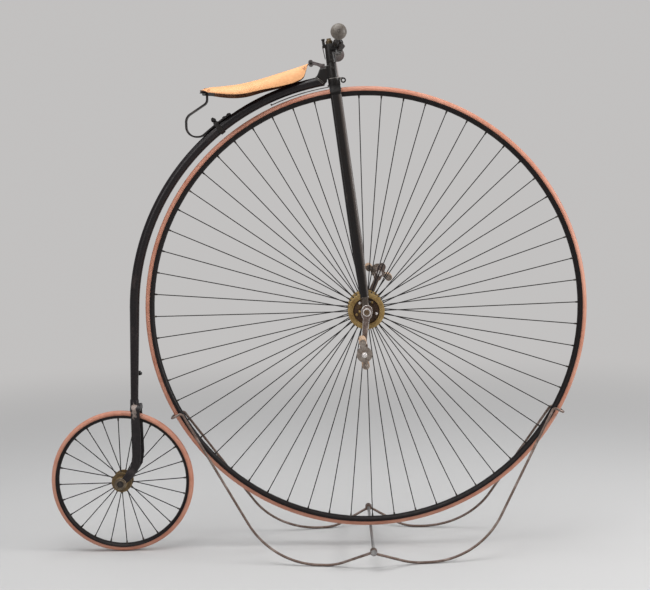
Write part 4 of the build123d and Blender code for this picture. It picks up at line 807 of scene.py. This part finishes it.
# The mounting step: a forged foot with a round-ended tread, on a pad that fits the tube's
# left side. Five cross teeth on the tread hold a boot.
broken("mounting_step", 0.0010, head_steel)
step_low, step_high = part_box("mounting_step")
step_x = (step_low[0] + step_high[0]) / 2
tooth_size = (0.024, 0.0026, 0.0022)
tooth_crest = (0.96, 0.35, 1.0)
tooth_pitch = 0.0068
tread_end = step_high[1] - 0.0085
tread_top = 0.5437
for number in range(5):
    bpy.ops.object.select_all(action="DESELECT")
    bpy.ops.mesh.primitive_cube_add(size=1.0, location=(0, 0, 0))
    tooth = bpy.context.object
    tooth.scale = tooth_size
    bpy.ops.object.transform_apply(scale=True)
    bpy.ops.object.mode_set(mode="EDIT")
    bpy.ops.mesh.select_all(action="DESELECT")
    bpy.ops.object.mode_set(mode="OBJECT")
    for face in tooth.data.polygons:
        face.select = face.normal.z > 0.9
    bpy.ops.object.mode_set(mode="EDIT")
    bpy.ops.transform.resize(value=tooth_crest, center_override=(0, 0, tooth_size[2] / 2))
    bpy.ops.object.mode_set(mode="OBJECT")
    tooth.location = (step_x, tread_end - number * tooth_pitch, tread_top)
    bevelled(tooth, 0.0003)
    settle(tooth, f"step_tooth_{number + 1}", head_steel, "mounting_step")


# The saddle: one hide of thick light-tan leather, hung like a hammock from a bolt at its
# nose to the steel cantle, to which copper rivets hold it. Its flaps droop beside the
# backbone, its cut edges are burnished dark and its flesh side is brown.
hide_tan = worked_finish(
    "tan_hide", base=(0.70, 0.345, 0.150), worn=(0.78, 0.41, 0.195), shade=(0.60, 0.275, 0.115),
    metal=0.0, rough=0.54, scale=11.0, wear=0.42, grain=0.05, soft=0.20, specular=0.30)
tree = hide_tan.node_tree
pores = tree.nodes.new("ShaderNodeTexVoronoi")
pores.feature = "DISTANCE_TO_EDGE"
pores.inputs["Scale"].default_value = 480.0
creases = tree.nodes.new("ShaderNodeTexNoise")
creases.inputs["Scale"].default_value = 22.0
creases.inputs["Detail"].default_value = 3.0
hide_place = tree.nodes.new("ShaderNodeTexCoord")
crease_map = tree.nodes.new("ShaderNodeMapping")
crease_map.inputs["Scale"].default_value = (0.5, 2.6, 1.0)
relief = tree.nodes.new("ShaderNodeMath")
relief.operation = "MULTIPLY_ADD"
relief.inputs[1].default_value = 12.0
tree.links.new(hide_place.outputs["Object"], pores.inputs["Vector"])
tree.links.new(hide_place.outputs["Object"], crease_map.inputs["Vector"])
tree.links.new(crease_map.outputs["Vector"], creases.inputs["Vector"])
tree.links.new(creases.outputs["Fac"], relief.inputs[0])
tree.links.new(pores.outputs["Distance"], relief.inputs[2])
tree.links.new(relief.outputs["Value"], tree.nodes["bump"].inputs["Height"])
flesh_brown = worked_finish(
    "flesh_side", base=(0.17, 0.070, 0.034), worn=(0.25, 0.115, 0.060), shade=(0.095, 0.036, 0.018),
    metal=0.0, rough=0.80, scale=20.0, wear=0.42, grain=0.5, specular=0.25)
burnished = worked_finish(
    "burnished_edge", base=(0.11, 0.042, 0.020), worn=(0.18, 0.075, 0.036),
    shade=(0.06, 0.022, 0.012), metal=0.0, rough=0.42, scale=30.0, wear=0.42, specular=0.4)

# distance ahead of the big wheel's axle, crown above it, half width, drop of the flap
hide_stations = [
    (-0.1567, 0.7293, 0.0105, 0.0435),
    (-0.1805, 0.7214, 0.0210, 0.0435),
    (-0.2100, 0.7125, 0.0295, 0.0430),
    (-0.2400, 0.7039, 0.0375, 0.0415),
    (-0.2910, 0.6890, 0.0540, 0.0365),
    (-0.3400, 0.6772, 0.0730, 0.0357),
    (-0.3680, 0.6722, 0.0820, 0.0332),
    (-0.3960, 0.6692, 0.0880, 0.0293),
    (-0.4225, 0.6668, 0.0870, 0.0241),
    (-0.4460, 0.6650, 0.0810, 0.0190),
    (-0.4770, 0.6566, 0.0560, 0.0110),
]


def hide_row(x):
    """Crown, half width and drop at a distance ahead of the axle, eased between the stations."""
    rows = hide_stations
    place = 0
    while place < len(rows) - 2 and x < rows[place + 1][0]:
        place += 1
    near, far = rows[place], rows[place + 1]
    share = min(max((x - near[0]) / (far[0] - near[0]), 0.0), 1.0)
    before = rows[max(place - 1, 0)]
    after = rows[min(place + 2, len(rows) - 1)]
    span = far[0] - near[0]
    cube, square = share ** 3, share ** 2
    values = []
    for column in (1, 2, 3):
        near_slope = (far[column] - before[column]) / (far[0] - before[0]) * span
        far_slope = (after[column] - near[column]) / (after[0] - near[0]) * span
        values.append(near[column] * (2 * cube - 3 * square + 1)
                      + near_slope * (cube - 2 * square + share)
                      + far[column] * (3 * square - 2 * cube) + far_slope * (cube - square))
    return values


nose_edge = hide_stations[0][0]
tail_edge = hide_stations[-1][0]
nose_sweep, nose_curl, curl_power = 0.0155, 0.0293, 14
tail_sweep = 0.0315


def hide_point(along, aside):
    """Point on the top of the hide: 0 to 1 from the nose back, -1 to 1 from right to left.
    The nose's edge sweeps back as it falls and curls in at the bottom."""
    turn = math.radians(90) * abs(aside)
    fall = 1 - math.cos(turn)
    nose = nose_edge - nose_sweep * fall - nose_curl * fall ** curl_power
    tail = tail_edge + tail_sweep * fall
    x = nose + (tail - nose) * along
    crown, half, drop = hide_row(x)
    y = math.copysign(half * math.sin(turn), aside)
    z = crown - drop * fall
    return Vector((axle_x + x, y, axle_z + z))


bpy.ops.object.select_all(action="DESELECT")
bpy.ops.mesh.primitive_grid_add(x_subdivisions=72, y_subdivisions=36, size=2.0)
hide = bpy.context.object
for vertex in hide.data.vertices:
    vertex.co = hide_point((1 - vertex.co.x) / 2, vertex.co.y)
bpy.ops.object.mode_set(mode="EDIT")
bpy.ops.mesh.select_all(action="SELECT")
bpy.ops.mesh.normals_make_consistent(inside=False)
bpy.ops.object.mode_set(mode="OBJECT")
if sum(face.normal.z for face in hide.data.polygons) < 0:
    hide.data.flip_normals()
hide.data.materials.append(hide_tan)
hide.data.materials.append(flesh_brown)
hide.data.materials.append(burnished)
wall = hide.modifiers.new("thickness", "SOLIDIFY")
wall.thickness = 0.0042
wall.offset = -1.0
wall.material_offset = 1
wall.material_offset_rim = 2
bpy.ops.object.modifier_apply(modifier=wall.name)
bevelled(hide, 0.0011, 2, 50)
settle(hide, "saddle_hide", hide_tan, "saddle_leather")
for face in hide.data.polygons:
    face.use_smooth = True
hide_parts("saddle_leather")

copper = worked_finish(
    "copper_rivet", base=(0.42, 0.20, 0.10), worn=(0.60, 0.34, 0.20), shade=(0.20, 0.085, 0.045),
    metal=0.75, rough=0.38, scale=70.0, wear=0.42)
rivets = [("cantle", 0.955, aside) for aside in (-0.78, -0.42, 0.0, 0.42, 0.78)]
rivets += [("nose", 0.030, aside) for aside in (-0.42, 0.42)]
copper_rings = [(0.0, 0.0046), (0.0007, 0.0045), (0.0015, 0.0034), (0.0019, 0.0016)]
copper_seat = 0.0004
for number, (where_held, back, aside) in enumerate(rivets):
    spot = hide_point(back, aside)
    ahead_of = hide_point(back - 0.01, aside) - hide_point(back + 0.01, aside)
    beside = hide_point(back, aside + 0.02) - hide_point(back, aside - 0.02)
    out = ahead_of.cross(beside)
    rivet = turned(spot - out.normalized() * copper_seat, out, copper_rings, 20)
    settle(rivet, f"{where_held}_rivet_{number + 1}", copper, "saddle_leather")


# The nose arm: a forging seated on the neck, with a loop at its end. A bolt with a nut on
# each side goes through the loop, at the nose of the hide.
arm_steel = worked_finish(
    "arm_steel", base=(0.105, 0.084, 0.086), worn=(0.21, 0.18, 0.175), shade=(0.045, 0.035, 0.034),
    metal=0.5, rough=0.42, scale=40.0, wear=0.40, soft=0.12)
broken("saddle_nose_arm", 0.0014, arm_steel)
loop = on_head(-0.0605, 0, 0.74205)
bolt_end, bolt_nut_seat = 0.0145, 0.0132
nose_bolt_rings = [(0.0, 0.0026), (0.0012, 0.0033), (0.0278, 0.0033), (0.0290, 0.0026)]
nose_bolt = turned(loop - Vector((0, bolt_end, 0)), (0, 1, 0), nose_bolt_rings, 20)
settle(nose_bolt, "nose_bolt", head_steel, "saddle_nose_arm")
for side, name in sides:
    bolt_nut = nut(
        loop + Vector((0, side * bolt_nut_seat, 0)), (0, side, 0), flat=0.0075, height=0.0036,
        bolt=0.0026, stand_out=0.0014)
    settle(bolt_nut, "nose_nut_" + name, head_steel, "saddle_nose_arm")


# The saddle spring: one flat leaf, bolted under the cantle plate, bent in a C and laid
# along the backbone, where a strap clip with its bolt and pillar holds it.
spring_steel = worked_finish(
    "spring_steel", base=(0.012, 0.0095, 0.009), worn=(0.06, 0.047, 0.042),
    shade=(0.020, 0.015, 0.014), metal=0.2, rough=0.38, scale=26.0, wear=0.36, soft=0.08,
    specular=0.35)
broken("saddle_spring", 0.0008, spring_steel)
broken("cantle_plate", 0.0005, head_steel)
broken("spring_clip", 0.0006, head_steel)
arc_middle = Vector((axle_x - 0.0010, 0, axle_z - 0.0055))


def on_arc(radius, degrees):
    """Point over the backbone's bend, by its distance from the bend's centre and its angle."""
    angle = math.radians(degrees)
    return arc_middle + Vector((radius * math.cos(angle), 0, radius * math.sin(angle)))


clip_degrees, clip_bolt_reach, clip_ear = 127.3, 0.72335, 0.0078
leaf_bolt_degrees, leaf_top = (123.75, 125.0), 0.71190
pillar_foot = 0.72000
leaf_bolt_rings = [(-0.0012, 0.0052), (0.0008, 0.0052), (0.0022, 0.0044), (0.0031, 0.0028),
                   (0.0034, 0.0010)]
pillar_rings = [(-0.006, 0.0046), (0.0, 0.0046), (0.0014, 0.0056), (0.0052, 0.0056), (0.0066, 0.0042)]
for side, name in sides:
    clip_nut = nut(
        on_arc(clip_bolt_reach, clip_degrees) + Vector((0, side * clip_ear, 0)), (0, side, 0),
        flat=0.0105, height=0.0052, bolt=0.0032, stand_out=0.0018)
    settle(clip_nut, "clip_nut_" + name, head_steel, "spring_clip")
for number, degrees in enumerate(leaf_bolt_degrees):
    off_tube = on_arc(1.0, degrees) - arc_middle
    leaf_bolt = turned(on_arc(leaf_top, degrees), off_tube, leaf_bolt_rings, 24)
    settle(leaf_bolt, f"leaf_bolt_{number + 1}", head_steel, "saddle_spring")
off_tube = on_arc(1.0, clip_degrees) - arc_middle
pillar = turned(on_arc(pillar_foot, clip_degrees), off_tube, pillar_rings, 24)
settle(pillar, "clip_pillar", head_steel, "spring_clip")
cantle_bolt_x, cantle_bolt_aside, cantle_under = axle_x - 0.4565, 0.0082, axle_z + 0.6478
for side, name in sides:
    under = nut(
        (cantle_bolt_x, side * cantle_bolt_aside, cantle_under), (0, 0, -1), flat=0.0085,
        height=0.0048, bolt=0.0028, stand_out=0.0016)
    settle(under, "cantle_nut_" + name, head_steel, "cantle_plate")


# The rear wheel: built like the front one, with twenty-four spokes, on a brass hub of two
# flanges with a stepped boss outside each. Its bolt goes through the fork, with a nut and a
# grooved bronze cap outside each blade.
rear_low, rear_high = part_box("rear_tyre")
rear_x = (rear_low[0] + rear_high[0]) / 2
rear_z = (rear_low[2] + rear_high[2]) / 2
dress(tyre_rubber, "rear_tyre")
dress(rim_enamel, "rear_rim_spokes")
spoke_fittings(
    "rear_spoke_fittings", hub=(rear_x, 0, rear_z), start=(0.0303, 0.0195), end=(0.1930, 0.0025),
    count=24, phase=2.0, node="rear_rim_spokes")
hub_bronze = worked_finish(
    "hub_bronze", base=(0.140, 0.088, 0.036), worn=(0.25, 0.17, 0.075), shade=(0.060, 0.036, 0.018),
    metal=0.45, rough=0.48, scale=40.0, wear=0.40, soft=0.14)
cap_bronze = worked_finish(
    "cap_bronze", base=(0.190, 0.145, 0.095), worn=(0.33, 0.27, 0.19), shade=(0.075, 0.052, 0.034),
    metal=0.5, rough=0.42, scale=60.0, wear=0.42, soft=0.12)
broken("rear_hub", 0.0007, hub_bronze, rubbed=brass)
broken("rear_axle", 0.0006, oiled_steel)
rear_flange_face, blade_face = 0.0219, 0.0429
bead_profile = [(-0.0003, 0.0262), (0.0008, 0.0260), (0.0008, 0.0244), (-0.0003, 0.0242)]
cap_profile = [(-0.0030, 0.0178), (0.0010, 0.0178), (0.0020, 0.0168), (0.0020, 0.0154),
               (0.0006, 0.0148), (0.0006, 0.0138), (0.0034, 0.0132), (0.0042, 0.0122),
               (0.0042, 0.0104), (-0.0002, 0.0102)]
for side, name in sides:
    bead = ringed((rear_x, side * rear_flange_face, rear_z), (0, side, 0), bead_profile, 56)
    settle(bead, "rear_flange_bead_" + name, brown_brass, "rear_hub")
    cap = ringed((rear_x, side * blade_face, rear_z), (0, side, 0), cap_profile, 48)
    settle(cap, "rear_cap_" + name, cap_bronze, "rear_fork")
